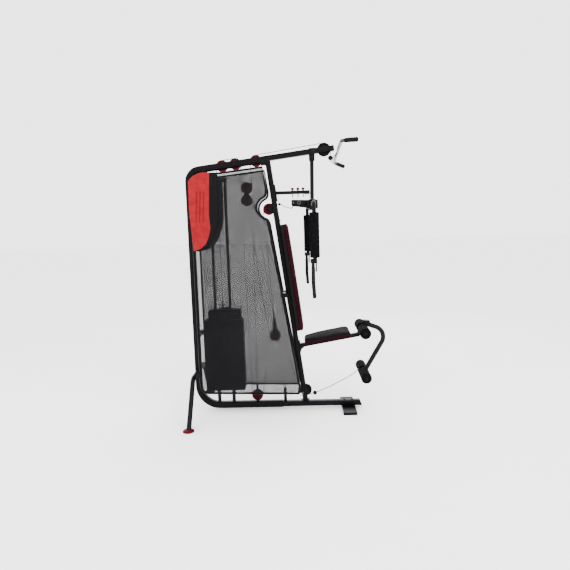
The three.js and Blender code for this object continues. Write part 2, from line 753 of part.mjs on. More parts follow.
// One butterfly arm on the near side, hanging at rest straight out from its pivot.
function butterflyArm() {
  const [x, y] = ARM_PIVOT;
  const out = ARM_OUT_Y;
  const pivot = cylinder([x, -y, 1558], [x, -y, 1610], 19, 18);
  const bore = cylinder([x, -y, 1500], [x, -y, 1650], 9 + 2 * GAP, 16);
  const armPath = [[x, -y, 1584], [x + 3, out, 1584], [x + 3, out, 1194]];
  const arm = roundTube(armPath, 45, 14, [1, 0, 0], 10);
  const foot = box([x - 28, x + 17], [out - 13, out + 13], [1176, 1206]);
  const gripPath = [[x - 11, out, 1200], [x - 12, out, 1040], [x - 6, out, 935]];
  const grip = roundTube(gripPath, 120, 13.5, [0, 1, 0], 10);
  const stub = cylinder([x + 10, out, 1116], [x + 10, out, 1180], 5.5, 10);
  return cut(join(pivot, arm, foot, grip, stub), bore);
}

function armPad() {
  const x = ARM_PIVOT[0] + 3;
  const pad = cylinder([x, ARM_OUT_Y, ARM_PAD_BOTTOM_Z], [x, ARM_OUT_Y, ARM_PAD_TOP_Z], ARM_PAD_RADIUS, 20);
  return cut(pad, cylinder([x, ARM_OUT_Y, 1200], [x, ARM_OUT_Y, 1530], 15, 10));
}

// Turns a near-side arm piece about its pivot, then mirrors it for the far side.
function placeArm(solid, side, degrees) {
  const [x, y] = ARM_PIVOT;
  const turned = solid.translate([-x, y, 0]).rotate([0, 0, degrees]).translate([x, -y, 0]);
  return side < 0 ? turned : turned.mirror([0, 1, 0]);
}

// ---------------------------------------------------------------- brace, knobs and lat bar

function pressBrace() {
  const half = 12.5;
  const start = uprightMiddle(BRACE_Z) + 23;
  const tube = cut(
    box([start, 170], [-half, half], [BRACE_Z - half, BRACE_Z + half]),
    box([start + 6, 171], [-half + 2, half - 2], [BRACE_Z - half + 2, BRACE_Z + half - 2]),
  );
  const nose = cut(
    box([158, 197.5], [-17, 17], [BRACE_Z - 15, BRACE_Z + 13]),
    box([150, 190], [-10.5, 10.5], [BRACE_Z - 10.5, BRACE_Z + 10.5]),
  );
  const flange = lean(box([0, 7], [-25, 25], [-62, 62]), [0, 0], LEAN_DEGREES);
  const holes = KNOB_XS.map((x) => cylinder([x, 0, 1600], [x, 0, 1720], 5, 10));
  return cut(join(tube, nose, flange.translate([uprightFront(BRACE_Z), 0, BRACE_Z])), ...holes);
}

function pullPin(x) {
  const shank = cylinder([x, 0, 1641], [x, 0, 1700], 4, 10);
  const neck = cylinder([x, 0, BRACE_Z + 13], [x, 0, 1702], 6.5, 12);
  const knob = cylinder([x, 0, 1700], [x, 0, 1716], 11, 14);
  return join(shank, neck, knob);
}

function latBar() {
  const corners = [
    [LAT_BAR_X + 92, -498, LAT_BAR_Z - 18],
    [LAT_BAR_X, -398, LAT_BAR_Z],
    [LAT_BAR_X, 398, LAT_BAR_Z],
    [LAT_BAR_X + 92, 498, LAT_BAR_Z - 18],
  ];
  const bar = roundTube(corners, 45, BAR_RADIUS, [0, 0, 1], 12);
  const tilted = bar.translate([0, 0, -LAT_BAR_Z]).rotate([-LAT_BAR_TILT, 0, 0]).translate([0, 0, LAT_BAR_Z]);
  const lug = plate([[385, 1938], [397, 1934], [412, 1955], [404, 1966]], [-4, 4]);
  const stopX = pulleyPlaces.lat_pulley[0] + latCableRadius;
  const ball = new THREE.SphereGeometry(19, 12, 8);
  ball.translate(stopX, 0, 1925);
  const link = roundTube([[stopX, 0, 1925], [stopX + 14, 0, 1900], [391, 0, 1937]], 8, 4, [0, 1, 0], 8);
  return join(tilted, lug, toSolid(ball), link);
}

// ---------------------------------------------------------------- cable runs

const around = (name, turn, radius = cableRadius) => [...pulleyPlaces[name], radius, turn];

function latCable() {
  const route = [
    [pulleyPlaces.lat_pulley[0] + latCableRadius, pulleyPlaces.lat_pulley[1] - 1],
    around('lat_pulley', 1, latCableRadius),
    around('boom_pulley_front', 1),
    around('block_pulley_upper', -1),
    around('boom_pulley_middle', 1),
    around('boom_pulley_rear', 1),
    [SELECTOR_X, pulleyPlaces.boom_pulley_rear[1] - 1],
  ];
  return cable(cableStations(route));
}

function straightCable(x, z0, z1) {
  return cylinder([x, 0, z0], [x, 0, z1], CABLE_RADIUS, 8);
}

function lowCable() {
  const route = [
    [541, 298], [500, 268], [440, 230], [335, 174], [216, 127],
    around('low_pulley', -1),
    around('floating_pulley', 1),
    around('base_pulley', -1),
    around('block_pulley_lower', -1),
    [-251, 440], [-252, 199],
  ];
  const stop = new THREE.SphereGeometry(17, 12, 8);
  stop.translate(200, 0, 121.5);
  const chain = cylinder([-251, 0, 440], [-252, 0, 200], 5, 8);
  return join(cable(cableStations(route)), toSolid(stop), chain);
}

function pressCable() {
  const route = [
    [100, 1571], [80, 1562], [50, 1562], [0, 1577], [-35, 1597],
    around('notch_pulley', 1),
    [-100, 722],
  ];
  const stop = new THREE.SphereGeometry(11, 12, 8);
  stop.translate(-33, 0, 1596);
  return join(cable(cableStations(route)), toSolid(stop));
}

// An elastic cord from the double block down through the post on the base tube and back up.
function guideCord() {
  const down = [
    [-262, 1600], [-243, 1379], [-223, 1197], [-194, 951], [-170, 795], [-140, 623], [-120, 510],
    [-92, 394], [-62, 250], [-36, 170],
  ];
  const corners = [
    ...inPlane(down, -24), [-33, -24, 148], [-33, 24, 148], [-30, 24, 200], [-235, 24, 1660],
  ];
  const bends = [...down.slice(1).map(() => 60), 8, 8, 20];
  return cable(bentStations(corners, bends, 30), [1, 0, 0]);
}

// ---------------------------------------------------------------- assembly

addPart('rear_frame', rearFrame(), blackPaint);
addPart('base_tube', baseTube(), blackPaint);
addPart('boom_tube', boomTube(), blackPaint);
addPart('upright', upright(), blackPaint);
addPart('rear_stabiliser', rearStabiliser(), blackPaint);
addPart('rear_foot_near', rearFoot(-1), redPlastic);
addPart('rear_foot_far', rearFoot(1), redPlastic);
addPart('front_foot', frontFoot(), blackPaint);
addPart('guard_near', guard(-1), meshGrey);
addPart('guard_far', guard(1), meshGrey);
addPart('guide_rod_rear', guideRod(ROD_XS[0]), darkSteel);
addPart('guide_rod_front', guideRod(ROD_XS[1]), darkSteel);

for (const [name, place] of Object.entries(pulleyPlaces)) {
  const isLat = name === 'lat_pulley';
  const look = isLat || name === 'low_pulley' ? blackPlastic : redPlastic;
  addPart(name, pulley(place, isLat ? LAT_PULLEY_RADIUS : PULLEY_RADIUS), look);
}
addPart('double_block', doubleBlock(), blackPaint);
addPart('floating_block', floatingBlock(), blackPaint);

for (let i = 0; i < PLATE_COUNT; i += 1) {
  addPart(`weight_plate_${i + 1}`, stackPlate(i), plateVinyl);
}
addPart('stack_head', stackHead(), plateVinyl);
addPart('selector_rod', selectorRod(), darkSteel);
addPart('selector_pin', selectorPin(), redPlastic);

addPart('backrest', backrest(), blackVinyl);
addPart('seat', seat(), blackVinyl);
addPart('seat_frame', seatFrame(), blackPaint);
addPart('leg_developer', legDeveloper(), greyPaint);
addPart('upper_roller_near', roller(LEG_PIVOT, -1, 32, UPPER_ROLLER_RADIUS), foam);
addPart('upper_roller_far', roller(LEG_PIVOT, 1, 32, UPPER_ROLLER_RADIUS), foam);
addPart('lower_roller_near', roller(LOWER_ROLLER, -1, 20, LOWER_ROLLER_RADIUS), foam);
addPart('lower_roller_far', roller(LOWER_ROLLER, 1, 20, LOWER_ROLLER_RADIUS), foam);

addPart('press_brace', pressBrace(), blackPaint);
KNOB_XS.forEach((x, i) => addPart(`pull_pin_${i + 1}`, pullPin(x), redPlastic));
addPart('press_arm', pressArm(), greyPaint);
addPart('butterfly_arm_near', placeArm(butterflyArm(), -1, ARM_TURN_NEAR), greyPaint);
addPart('butterfly_arm_far', placeArm(butterflyArm(), 1, ARM_TURN_FAR), greyPaint);
addPart('arm_pad_near', placeArm(armPad(), -1, ARM_TURN_NEAR), foam);
addPart('arm_pad_far', placeArm(armPad(), 1, ARM_TURN_FAR), foam);
addPart('lat_bar', latBar(), chrome);

addPart('lat_cable', latCable(), cableSheath);
addPart('lat_drop_cable', straightCable(
  pulleyPlaces.lat_pulley[0] + latCableRadius,
  1944.5,
  pulleyPlaces.lat_pulley[1] - 1 - GAP,
), cableSheath);
addPart('stack_cable', straightCable(
  SELECTOR_X,
  850 + GAP,
  pulleyPlaces.boom_pulley_rear[1] - 1 - GAP,
), cableSheath);
addPart('low_cable', lowCable(), cableSheath);
addPart('press_cable', pressCable(), cableSheath);
addPart('guide_cord', guideCord(), cableSheath);

export default gym;
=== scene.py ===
"""The looks of the multi station home gym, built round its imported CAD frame.

Geometry is written in millimetres, in the CAD frame: +X is the front, +Z is up and the near side is -Y.
Each piece is scaled to metres when it is made.
"""

import math

import bmesh
import bpy
from mathutils import Matrix, Vector


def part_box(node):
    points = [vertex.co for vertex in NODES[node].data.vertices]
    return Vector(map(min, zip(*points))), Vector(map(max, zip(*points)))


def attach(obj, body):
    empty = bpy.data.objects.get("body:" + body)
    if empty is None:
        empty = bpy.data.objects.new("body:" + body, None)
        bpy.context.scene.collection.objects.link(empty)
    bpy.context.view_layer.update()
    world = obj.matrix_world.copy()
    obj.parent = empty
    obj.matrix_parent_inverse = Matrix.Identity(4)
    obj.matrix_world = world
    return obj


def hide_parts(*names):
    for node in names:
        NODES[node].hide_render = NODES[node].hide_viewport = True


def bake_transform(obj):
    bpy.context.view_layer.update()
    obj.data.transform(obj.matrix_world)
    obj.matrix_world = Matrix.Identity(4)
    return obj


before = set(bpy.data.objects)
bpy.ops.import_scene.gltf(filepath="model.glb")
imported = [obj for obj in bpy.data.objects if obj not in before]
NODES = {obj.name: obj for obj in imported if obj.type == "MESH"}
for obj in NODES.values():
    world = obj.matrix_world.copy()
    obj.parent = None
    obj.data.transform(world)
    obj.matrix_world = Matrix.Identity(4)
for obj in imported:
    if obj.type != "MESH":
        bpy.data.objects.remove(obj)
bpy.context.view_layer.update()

MM = 0.001

# ---- driving values, as in the CAD model

TUBE = 50
FLAT_TUBE = 40
REAR_X = -711
BASE_Z = 41
BASE_JOINT_X = -50
BASE_FRONT_X = 545
JOINT_GAP = 0.3
PLATE_OUT = 29
CORD_HOLE = (-33, 148)
BOOM_JOINT_X = -130
BOOM_FRONT_X = 385
BOOM_RISE = 0.1175
BOOM_REFERENCE = (-150, 1928)
UPRIGHT_FOOT = (124, 79)
UPRIGHT_LEAN = 0.1276
GUARD_Y = 120
GUARD_TUBE_RADIUS = 8
GUARD_LEAN = 0.1606
PRESS_PIVOT = (219, 1930)
ARM_PIVOT = (214, 80)
ARM_OUT_Y = -440
ARM_TURNS = {"near": -0.6, "far": -5.5}
HEAD_TOP = 1621
LEG_PIVOT = (579, 626)
LOWER_ROLLER = (582, 287)
LAT_BAR = (409, 1961)
LAT_BAR_TILT = 3.4
CABLE_RADIUS = 2.5
LINK_RADIUS = 3
STACK_CABLE_X = -497
PULLEY_RADIUS = 44
LAT_PULLEY_RADIUS = 50
CABLE_SEAT = 42.1
LAT_CABLE_SEAT = 48.1
SEAT_SLOPE = 0.1695
SEAT_REAR_X = 124
BACKREST_Z = 1039
# The height of each cushion's seam above its board.
SEAT_SEAM = 23
BACK_SEAM = 51
SIDES = (("near", -1), ("far", 1))


def boom_middle(x):
    return BOOM_REFERENCE[1] + BOOM_RISE * (x - BOOM_REFERENCE[0])


def front_boom_middle(x):
    return boom_middle(x) + (TUBE - FLAT_TUBE) / 2


def upright_middle(z):
    return UPRIGHT_FOOT[0] - UPRIGHT_LEAN * (z - UPRIGHT_FOOT[1])


def seat_bottom(x):
    return 529 + SEAT_SLOPE * (x - 138)


def centre(node):
    """The middle of a CAD node's box, in millimetres."""
    low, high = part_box(node)
    return (low + high) / 2 / MM


def middle_xz(node):
    point = centre(node)
    return point.x, point.z


# ---- camera

CAMERA_PLACE = (0.110, -3.829, 1.432)
CAMERA_YAW, CAMERA_PITCH, CAMERA_ROLL = 1.79, 6.71, 1.78
CAMERA_LENS = 31.67


def make_camera():
    yaw, pitch, roll = (math.radians(a) for a in (CAMERA_YAW, CAMERA_PITCH, CAMERA_ROLL))
    ahead = Vector((-math.sin(yaw) * math.cos(pitch), math.cos(yaw) * math.cos(pitch), -math.sin(pitch)))
    right = ahead.cross(Vector((0, 0, 1))).normalized()
    up = right.cross(ahead)
    turned_right = math.cos(roll) * right - math.sin(roll) * up
    turned_up = math.sin(roll) * right + math.cos(roll) * up
    data = bpy.data.cameras.new("camera")
    data.lens = CAMERA_LENS
    data.sensor_width = 36
    camera = bpy.data.objects.new("camera", data)
    axes = Matrix((turned_right, turned_up, -ahead)).transposed().to_4x4()
    camera.matrix_world = Matrix.Translation(CAMERA_PLACE) @ axes
    bpy.context.scene.collection.objects.link(camera)
    bpy.context.scene.camera = camera


make_camera()


# ---- materials

class Look:
    """A procedural material: a colour that varies, a roughness that varies, and a fine relief."""

    def __init__(self, name, color, roughness, metallic=0.0, specular=0.05):
        self.material = bpy.data.materials.new(name)
        self.material.use_nodes = True
        self.tree = self.material.node_tree
        self.shader = self.tree.nodes["Principled BSDF"]
        self.fill(self.shader, {"Metallic": metallic, "Specular IOR Level": specular})
        self.place = self.node("TexCoord", {}).outputs["Object"]
        self.color = color
        self.roughness = roughness

    def fill(self, node, values):
        """Sets a node's inputs by name, each to a number or to another node's output."""
        for name, value in values.items():
            if isinstance(value, bpy.types.NodeSocket):
                self.tree.links.new(value, node.inputs[name])
            else:
                node.inputs[name].default_value = value

    def node(self, kind, values, **settings):
        made = self.tree.nodes.new("ShaderNode" + kind)
        for key, value in settings.items():
            setattr(made, key, value)
        self.fill(made, values)
        return made

    def noise(self, scale, detail=4.0):
        return self.node("TexNoise", {"Scale": scale, "Detail": detail, "Vector": self.place}).outputs["Fac"]

    def grain(self, scale):
        return self.node("TexVoronoi", {"Scale": scale, "Vector": self.place}).outputs["Distance"]

    def varied_color(self, spread, scale):
        made = self.node("ValToRGB", {"Fac": self.noise(scale)})
        for element, position, sign in zip(made.color_ramp.elements, (0.35, 0.65), (-1, 1)):
            element.position = position
            element.color = (*(min(1, c * (1 + sign * spread)) for c in self.color), 1)
        return made.outputs["Color"]

    def vary(self, spread, scale, rough_spread, rough_scale):
        self.fill(self.shader, {"Base Color": self.varied_color(spread, scale)})
        return self.vary_roughness(rough_spread, rough_scale)

    def vary_roughness(self, spread, scale):
        low, high = max(0.02, self.roughness - spread), min(1.0, self.roughness + spread)
        made = self.node("MapRange", {"To Min": low, "To Max": high, "Value": self.noise(scale, 6.0)})
        self.fill(self.shader, {"Roughness": made.outputs["Result"]})
        return self

    def relief(self, height, strength, distance):
        made = self.node("Bump", {"Strength": strength, "Distance": distance, "Height": height})
        self.fill(self.shader, {"Normal": made.outputs["Normal"]})
        return self

    def band(self, axis, limit, width, inner, outer):
        """Mixes from the inner colour to the outer one where the local axis passes limit."""
        height = self.node("SeparateXYZ", {"Vector": self.place}).outputs[axis]
        share = self.node("MapRange", {"From Min": limit - width, "From Max": limit, "Value": height})
        mix = self.node("Mix", {"Factor": share.outputs["Result"], "A": inner, "B": outer}, data_type="RGBA")
        self.fill(self.shader, {"Base Color": mix.outputs["Result"]})


def paint(name, color, roughness):
    """Powder coat: a faint orange peel under a soft gloss."""
    look = Look(name, color, roughness).vary(0.22, 5.0, 0.07, 18.0)
    return look.relief(look.noise(420, 3), 0.18, 0.0004).material


def plastic(name, color, roughness):
    look = Look(name, color, roughness).vary(0.14, 22.0, 0.08, 60.0)
    return look.relief(look.noise(900, 2), 0.25, 0.0003).material


def metal(name, color, roughness):
    look = Look(name, color, roughness, metallic=1.0, specular=0.5).vary(0.08, 30.0, 0.05, 120.0)
    return look.relief(look.noise(600, 8), 0.06, 0.0002).material


def foam_skin(name, color):
    look = Look(name, color, 0.86, specular=0.02).vary(0.28, 40.0, 0.08, 90.0)
    return look.relief(look.grain(650), 0.5, 0.0006).material


def cushion_vinyl(name, top, border, seam_height):
    """Grained vinyl on top, with a dark red border below the seam on the cushion's own +Z axis."""
    look = Look(name, top, 0.6, specular=0.01).vary_roughness(0.07, 25.0)
    top_color = look.varied_color(0.16, 9.0)
    look.color = border
    look.band("Z", seam_height * MM, 0.5 * MM, look.varied_color(0.18, 12.0), top_color)
    return look.relief(look.grain(520), 0.4, 0.0005).material


PAINTS = {
    "black_paint": ((0.0022, 0.0018, 0.0026), 0.30),
    "arm_paint": ((0.0024, 0.0021, 0.0028), 0.34),
    "guard_mesh": ((0.0050, 0.0046, 0.0056), 0.5),
    "grey_paint": ((0.0045, 0.0045, 0.0050), 0.36),
}
PLASTICS = {
    "red_plastic": ((0.050, 0.0010, 0.0050), 0.36),
    "knob_plastic": ((0.026, 0.0010, 0.0030), 0.34),
    "red_panel": ((0.175, 0.0050, 0.0080), 0.42),
    "panel_mark": ((0.105, 0.0028, 0.0050), 0.42),
    "black_plastic": ((0.0020, 0.0018, 0.0022), 0.44),
    "plate_shell": ((0.0026, 0.0018, 0.0036), 0.5),
    "cable_sheath": ((0.0024, 0.0024, 0.0028), 0.4),
    "clear_cable": ((0.03, 0.03, 0.032), 0.35),
    "seam_vinyl": ((0.0024, 0.0020, 0.0024), 0.4),
}
METALS = {
    "dark_steel": ((0.010, 0.010, 0.012), 0.34),
    "bolt_black": ((0.008, 0.008, 0.009), 0.4),
    "chrome": ((0.06, 0.06, 0.063), 0.2),
    "zinc": ((0.12, 0.12, 0.13), 0.3),
}
FOAMS = {
    "foam": ((0.0022, 0.0020, 0.0024),),
    "grip_rubber": ((0.0070, 0.0072, 0.0076),),
}
VINYLS = {
    "seat_vinyl": ((0.0042, 0.0030, 0.0036), (0.014, 0.0015, 0.0030), SEAT_SEAM),
    "back_vinyl": ((0.0028, 0.0022, 0.0030), (0.0135, 0.0016, 0.0034), BACK_SEAM),
}
MAKERS = ((paint, PAINTS), (plastic, PLASTICS), (metal, METALS), (foam_skin, FOAMS), (cushion_vinyl, VINYLS))
LOOKS = {name: maker(name, *values) for maker, rows in MAKERS for name, values in rows.items()}


# ---- making pieces

SMOOTH_ANGLE = math.radians(38)


def into_mesh(shape, name):
    """Moves a bmesh in millimetres into a new mesh in metres, and frees it."""
    bmesh.ops.recalc_face_normals(shape, faces=shape.faces)
    bmesh.ops.scale(shape, vec=(MM, MM, MM), verts=shape.verts)
    mesh = bpy.data.meshes.new(name)
    shape.to_mesh(mesh)
    shape.free()
    return mesh


def finish_piece(name, shape, look, replaces=(), place=None):
    """Turns a bmesh in millimetres into one shaded object in metres, at rest in the CAD frame."""
    mesh = into_mesh(shape, name)
    mesh.polygons.foreach_set("use_smooth", [True] * len(mesh.polygons))
    mesh.set_sharp_from_angle(angle=SMOOTH_ANGLE)
    made = bpy.data.objects.new(name, mesh)
    if place is not None:
        made.matrix_world = place
    bpy.context.scene.collection.objects.link(made)
    made.data.materials.append(LOOKS[look])
    if replaces:
        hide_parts(*replaces)
    return made


def piece(name, shape, body, look, replaces=(), place=None):
    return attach(finish_piece(name, shape, look, replaces, place), body)


def assemble(*steps):
    """One bmesh from steps, each a maker and what it is given after the shape."""
    shape = bmesh.new()
    for maker, *values in steps:
        maker(shape, *values)
    return shape


def axle(shape, place, half, radius=5, sides=24):
    """A round bar across the gym through place (x, z), half long each way."""
    rod(shape, (place[0], -half, place[1]), (place[0], half, place[1]), radius, sides)


def sleeve(bore, radius, low, high, edge=1):
    """The profile of a round sleeve with bevelled outer edges."""
    outer = [(radius - edge, low), (radius, low + edge), (radius, high - edge), (radius - edge, high)]
    return [(bore, low), *outer, (bore, high)]


def closed_stations(points):
    """Stations round a closed loop, each heading from the point before it to the one after."""
    count = len(points)
    return [(p, (points[(i + 1) % count] - points[i - 1]).normalized()) for i, p in enumerate(points)]


def flat_tube(start, end, width=TUBE, height=FLAT_TUBE, radius=6):
    """A straight tube between two places (x, z)."""
    return assemble((sweep, rounded_rect(width, height, radius), bent_path(flat_path([start, end])), (0, 1, 0)))


def circle(radius, sides=28):
    turn = 2 * math.pi / sides
    return [(radius * math.cos(turn * i), radius * math.sin(turn * i)) for i in range(sides)]


def rounded_rect(width, height, radius, steps=4):
    points = []
    for sx, sy, start in ((1, 1, 0), (-1, 1, 90), (-1, -1, 180), (1, -1, 270)):
        for step in range(steps + 1):
            angle = math.radians(start + 90 * step / steps)
            x = sx * (width / 2 - radius) + radius * math.cos(angle)
            y = sy * (height / 2 - radius) + radius * math.sin(angle)
            points.append((x, y))
    return points


def flat_path(points, y=0):
    return [(x, y, z) for x, z in points]


def bent_path(corners, radii=0, step=7):
    """Stations (point, direction) along straight runs joined by round bends."""
    points = [Vector(p) for p in corners]
    ways = [(b - a).normalized() for a, b in zip(points, points[1:])]
    stations = [(points[0], ways[0])]
    for i in range(1, len(points) - 1):
        radius = radii[i - 1] if isinstance(radii, (list, tuple)) else radii
        turn = ways[i - 1].angle(ways[i])
        if turn < 1e-4 or radius <= 0:
            stations.append((points[i], (ways[i - 1] + ways[i]).normalized()))
            continue
        axis = ways[i - 1].cross(ways[i]).normalized()
        start = points[i] - ways[i - 1] * radius * math.tan(turn / 2)
        middle = start + axis.cross(ways[i - 1]) * radius
        steps = max(1, math.ceil(math.degrees(turn) / step))
        for k in range(steps + 1):
            rotation = Matrix.Rotation(turn * k / steps, 3, axis)
            stations.append((rotation @ (start - middle) + middle, rotation @ ways[i - 1]))
    stations.append((points[-1], ways[-1]))
    return stations


def sweep(shape, section, stations, side, closed=False, sizes=None):
    """Sweeps a closed section along stations; side is the way that the section's first axis keeps."""
    side = Vector(side)
    rings = []
    for i, (point, way) in enumerate(stations):
        across = (side - way * side.dot(way)).normalized()
        over = way.cross(across)
        size = sizes[i] if sizes else 1.0
        rings.append([shape.verts.new(point + size * (u * across + v * over)) for u, v in section])
    pairs = list(zip(rings, rings[1:]))
    if closed:
        pairs.append((rings[-1], rings[0]))
    for a, b in pairs:
        for k in range(len(section)):
            following = (k + 1) % len(section)
            shape.faces.new((a[k], a[following], b[following], b[k]))
    if not closed:
        shape.faces.new(list(reversed(rings[0])))
        shape.faces.new(rings[-1])


def rod(shape, start, end, radius, sides=24):
    start, end = Vector(start), Vector(end)
    way = (end - start).normalized()
    side = (1, 0, 0) if abs(way.x) < 0.7 else (0, 1, 0)
    sweep(shape, circle(radius, sides), [(start, way), (end, way)], side)


def lathe(shape, profile, origin, axis=(0, 1, 0), sides=40):
    """Turns profile points (radius, height) about an axis. The profile closes, or ends on the axis."""
    origin, axis = Vector(origin), Vector(axis).normalized()
    first = axis.orthogonal().normalized()
    second = axis.cross(first)
    rings = []
    for radius, height in profile:
        foot = origin + axis * height
        if radius < 1e-6:
            rings.append([shape.verts.new(foot)])
            continue
        turn = 2 * math.pi / sides
        rings.append([
            shape.verts.new(foot + radius * (math.cos(turn * k) * first + math.sin(turn * k) * second))
            for k in range(sides)
        ])
    count = len(rings)
    on_axis = len(rings[0]) == 1 and len(rings[-1]) == 1
    for i in range(count - 1 if on_axis else count):
        a, b = rings[i], rings[(i + 1) % count]
        for k in range(sides):
            n = (k + 1) % sides
            if len(a) == 1:
                shape.faces.new((a[0], b[k], b[n]))
            elif len(b) == 1:
                shape.faces.new((a[k], a[n], b[0]))
            else:
                shape.faces.new((a[k], a[n], b[n], b[k]))


def prism(shape, outline, low, high, bevel=0.8, segments=2):
    """A plate standing in the XZ plane from outline points (x, z), between two Y values."""
    near = [shape.verts.new((x, low, z)) for x, z in outline]
    far = [shape.verts.new((x, high, z)) for x, z in outline]
    count = len(outline)
    made = [shape.faces.new(near), shape.faces.new(list(reversed(far)))]
    for k in range(count):
        n = (k + 1) % count
        made.append(shape.faces.new((near[k], far[k], far[n], near[n])))
    if bevel:
        edges = list(dict.fromkeys(edge for face in made for edge in face.edges))
        bmesh.ops.bevel(shape, geom=edges, offset=bevel, segments=segments, affect="EDGES",
                        profile=0.5, clamp_overlap=True)


def block(shape, x, y, z, bevel=1.5):
    prism(shape, [(x[0], z[0]), (x[1], z[0]), (x[1], z[1]), (x[0], z[1])], y[0], y[1], bevel)


def twin_plates(shape, outline, inner, outer, bevel=0.8):
    prism(shape, outline, -outer, -inner, bevel)
    prism(shape, outline, inner, outer, bevel)


def ball(shape, place, radius, bore_axis=(1, 0, 0)):
    """A rubber stop: a ball flattened a little where the cable goes through it."""
    steps = 14
    profile = []
    for i in range(steps + 1):
        angle = math.pi * i / steps
        profile.append((max(0.0, radius * math.sin(angle)), -radius * 0.94 * math.cos(angle)))
    profile[0] = (0, profile[0][1])
    profile[-1] = (0, profile[-1][1])
    lathe(shape, profile, place, bore_axis, 28)


def bolt(shape, place, axis, size=5.5):
    """A washer and a domed hexagon head, standing on place along axis."""
    washer = [(0, 0), (size * 1.45, 0), (size * 1.5, 0.5), (size * 1.5, 1.2), (size * 1.4, 1.6), (0, 1.6)]
    head = [(0, 1.6), (size, 1.6), (size, size * 0.8), (size * 0.82, size), (0, size * 1.05)]
    lathe(shape, washer, place, axis, 24)
    lathe(shape, head, place, axis, 6)


def bolts_across(shape, points, half_width, size=5.5):
    """A bolt head on the near side and its nut on the far side at each [x, z]."""
    for x, z in points:
        bolt(shape, (x, -half_width, z), (0, -1, 0), size)
        bolt(shape, (x, half_width, z), (0, 1, 0), size)


def carve(target, cutters):
    """Cuts the cutters' shapes, bmeshes in millimetres, out of a finished object's mesh."""
    for i, shape in enumerate(cutters):
        tool = bpy.data.objects.new(f"cutter_{i}", into_mesh(shape, f"cutter_{i}"))
        bpy.context.scene.collection.objects.link(tool)
        change = target.modifiers.new("cut", "BOOLEAN")
        change.operation = "DIFFERENCE"
        change.solver = "EXACT"
        change.object = tool
        apply_modifiers(target)
        bpy.data.objects.remove(tool)
    target.data.set_sharp_from_angle(angle=SMOOTH_ANGLE)


def apply_modifiers(target):
    bpy.context.view_layer.update()
    graph = bpy.context.evaluated_depsgraph_get()
    mesh = bpy.data.meshes.new_from_object(target.evaluated_get(graph))
    target.modifiers.clear()
    target.data = mesh


def slot_cutter(place, radius):
    x, z = place
    reach = radius + 7
    return assemble((block, (x - reach, x + reach), (-14, 14), (z - 80, z + 80), 0))


def dress(node, look, width=1.2):
    """Gives a carried-over CAD node its material and soft edges; its own mesh stays as it is."""
    made = NODES[node]
    made.data.materials.clear()
    made.data.materials.append(LOOKS[look])
    made.data.polygons.foreach_set("use_smooth", [True] * len(made.data.polygons))
    weld = made.modifiers.new("weld", "WELD")
    weld.merge_threshold = 0.00002
    soften = made.modifiers.new("soften", "BEVEL")
    soften.width = width * MM
    soften.segments = 2
    soften.limit_method = "ANGLE"
    soften.angle_limit = SMOOTH_ANGLE
    made.modifiers.new("even", "WEIGHTED_NORMAL").keep_sharp = True


# ---- main frame

BOOM_PULLEYS = ("boom_pulley_rear", "boom_pulley_middle", "boom_pulley_front")


def rear_frame():
    corners = flat_path([
        (BASE_JOINT_X, BASE_Z),
        (REAR_X, BASE_Z),
        (REAR_X, boom_middle(REAR_X)),
        (BOOM_JOINT_X, boom_middle(BOOM_JOINT_X)),
    ])
    tube = assemble((sweep, rounded_rect(TUBE, TUBE, 8), bent_path(corners, (165, 90), 5), (0, 1, 0)))
    made = piece("rear_frame_tube", tube, "frame", "black_paint", ["rear_frame"])
    places = [middle_xz(name) for name in BOOM_PULLEYS]
    carve(made, [slot_cutter(place, PULLEY_RADIUS) for place in places])
    fittings = bmesh.new()
    for place in places:
        axle(fittings, place, TUBE / 2 + 1)
        bolts_across(fittings, [place], TUBE / 2)
    piece("boom_axle_bolts", fittings, "frame", "bolt_black")
    rod_hanger()
    base_fork()


def rod_hanger():
    """The shelf under the boom that the guide rods hang from, with a hole for the stack's cable."""
    rear, front, top = -602, -414, 1803
    cheek = [(rear, top - 4), (rear + 28, top - 4), (rear + 28, top + 69), (rear, top + 69)]
    hanger = assemble((block, (rear, front), (-30, 30), (top - 5.7, top)), (twin_plates, cheek, 24, 29))
    made = piece("rod_hanger", hanger, "frame", "black_paint")
    carve(made, [assemble((rod, (STACK_CABLE_X, 0, top - 23), (STACK_CABLE_X, 0, top + 12), 12))])


def base_fork():
    """The fork that holds the base pulley, and the pin at the foot of its chain."""
    x, z = middle_xz("base_pulley")
    pin = (x, 192)
    cheek = [(-261, 62), (-243, 62), (-245, 205), (-259, 205)]
    piece("base_pulley_fork", assemble((twin_plates, cheek, 13, 17)), "frame", "black_paint")
    pins = assemble((axle, (x, z), 17), (axle, pin, 17, 4), (bolts_across, [(x, z), pin], 17, 5))
    piece("base_fork_bolts", pins, "frame", "bolt_black")


def base_tube():
    tube = flat_tube((BASE_JOINT_X + JOINT_GAP, BASE_Z), (BASE_FRONT_X, BASE_Z))
    piece("base_tube_body", tube, "frame", "black_paint", ["base_tube"])
    x = CORD_HOLE[0]
    post = assemble((block, (x - 12, x + 12), (-12, 12), (60, 165), 2))
    carve(piece("cord_post", post, "frame", "black_paint"), [assemble((axle, CORD_HOLE, 20))])
    wedge = [(BASE_FRONT_X, 22), (564, 17), (566, 22), (551, 60), (BASE_FRONT_X, 61)]
    piece("base_end_cap", assemble((prism, wedge, -TUBE / 2, TUBE / 2, 2)), "frame", "black_plastic")
    plate = [(-88, 24), (-12, 24), (-12, 58), (-88, 58)]
    piece("base_joint_plates", assemble((twin_plates, plate, 25, PLATE_OUT)), "frame", "black_paint")
    heads = assemble((bolts_across, [(-72, BASE_Z), (-28, BASE_Z)], PLATE_OUT))
    for x in (430, 490):
        bolt(heads, (x, 0, BASE_Z + FLAT_TUBE / 2), (0, 0, 1), 7)
    piece("base_bolts", heads, "frame", "bolt_black")


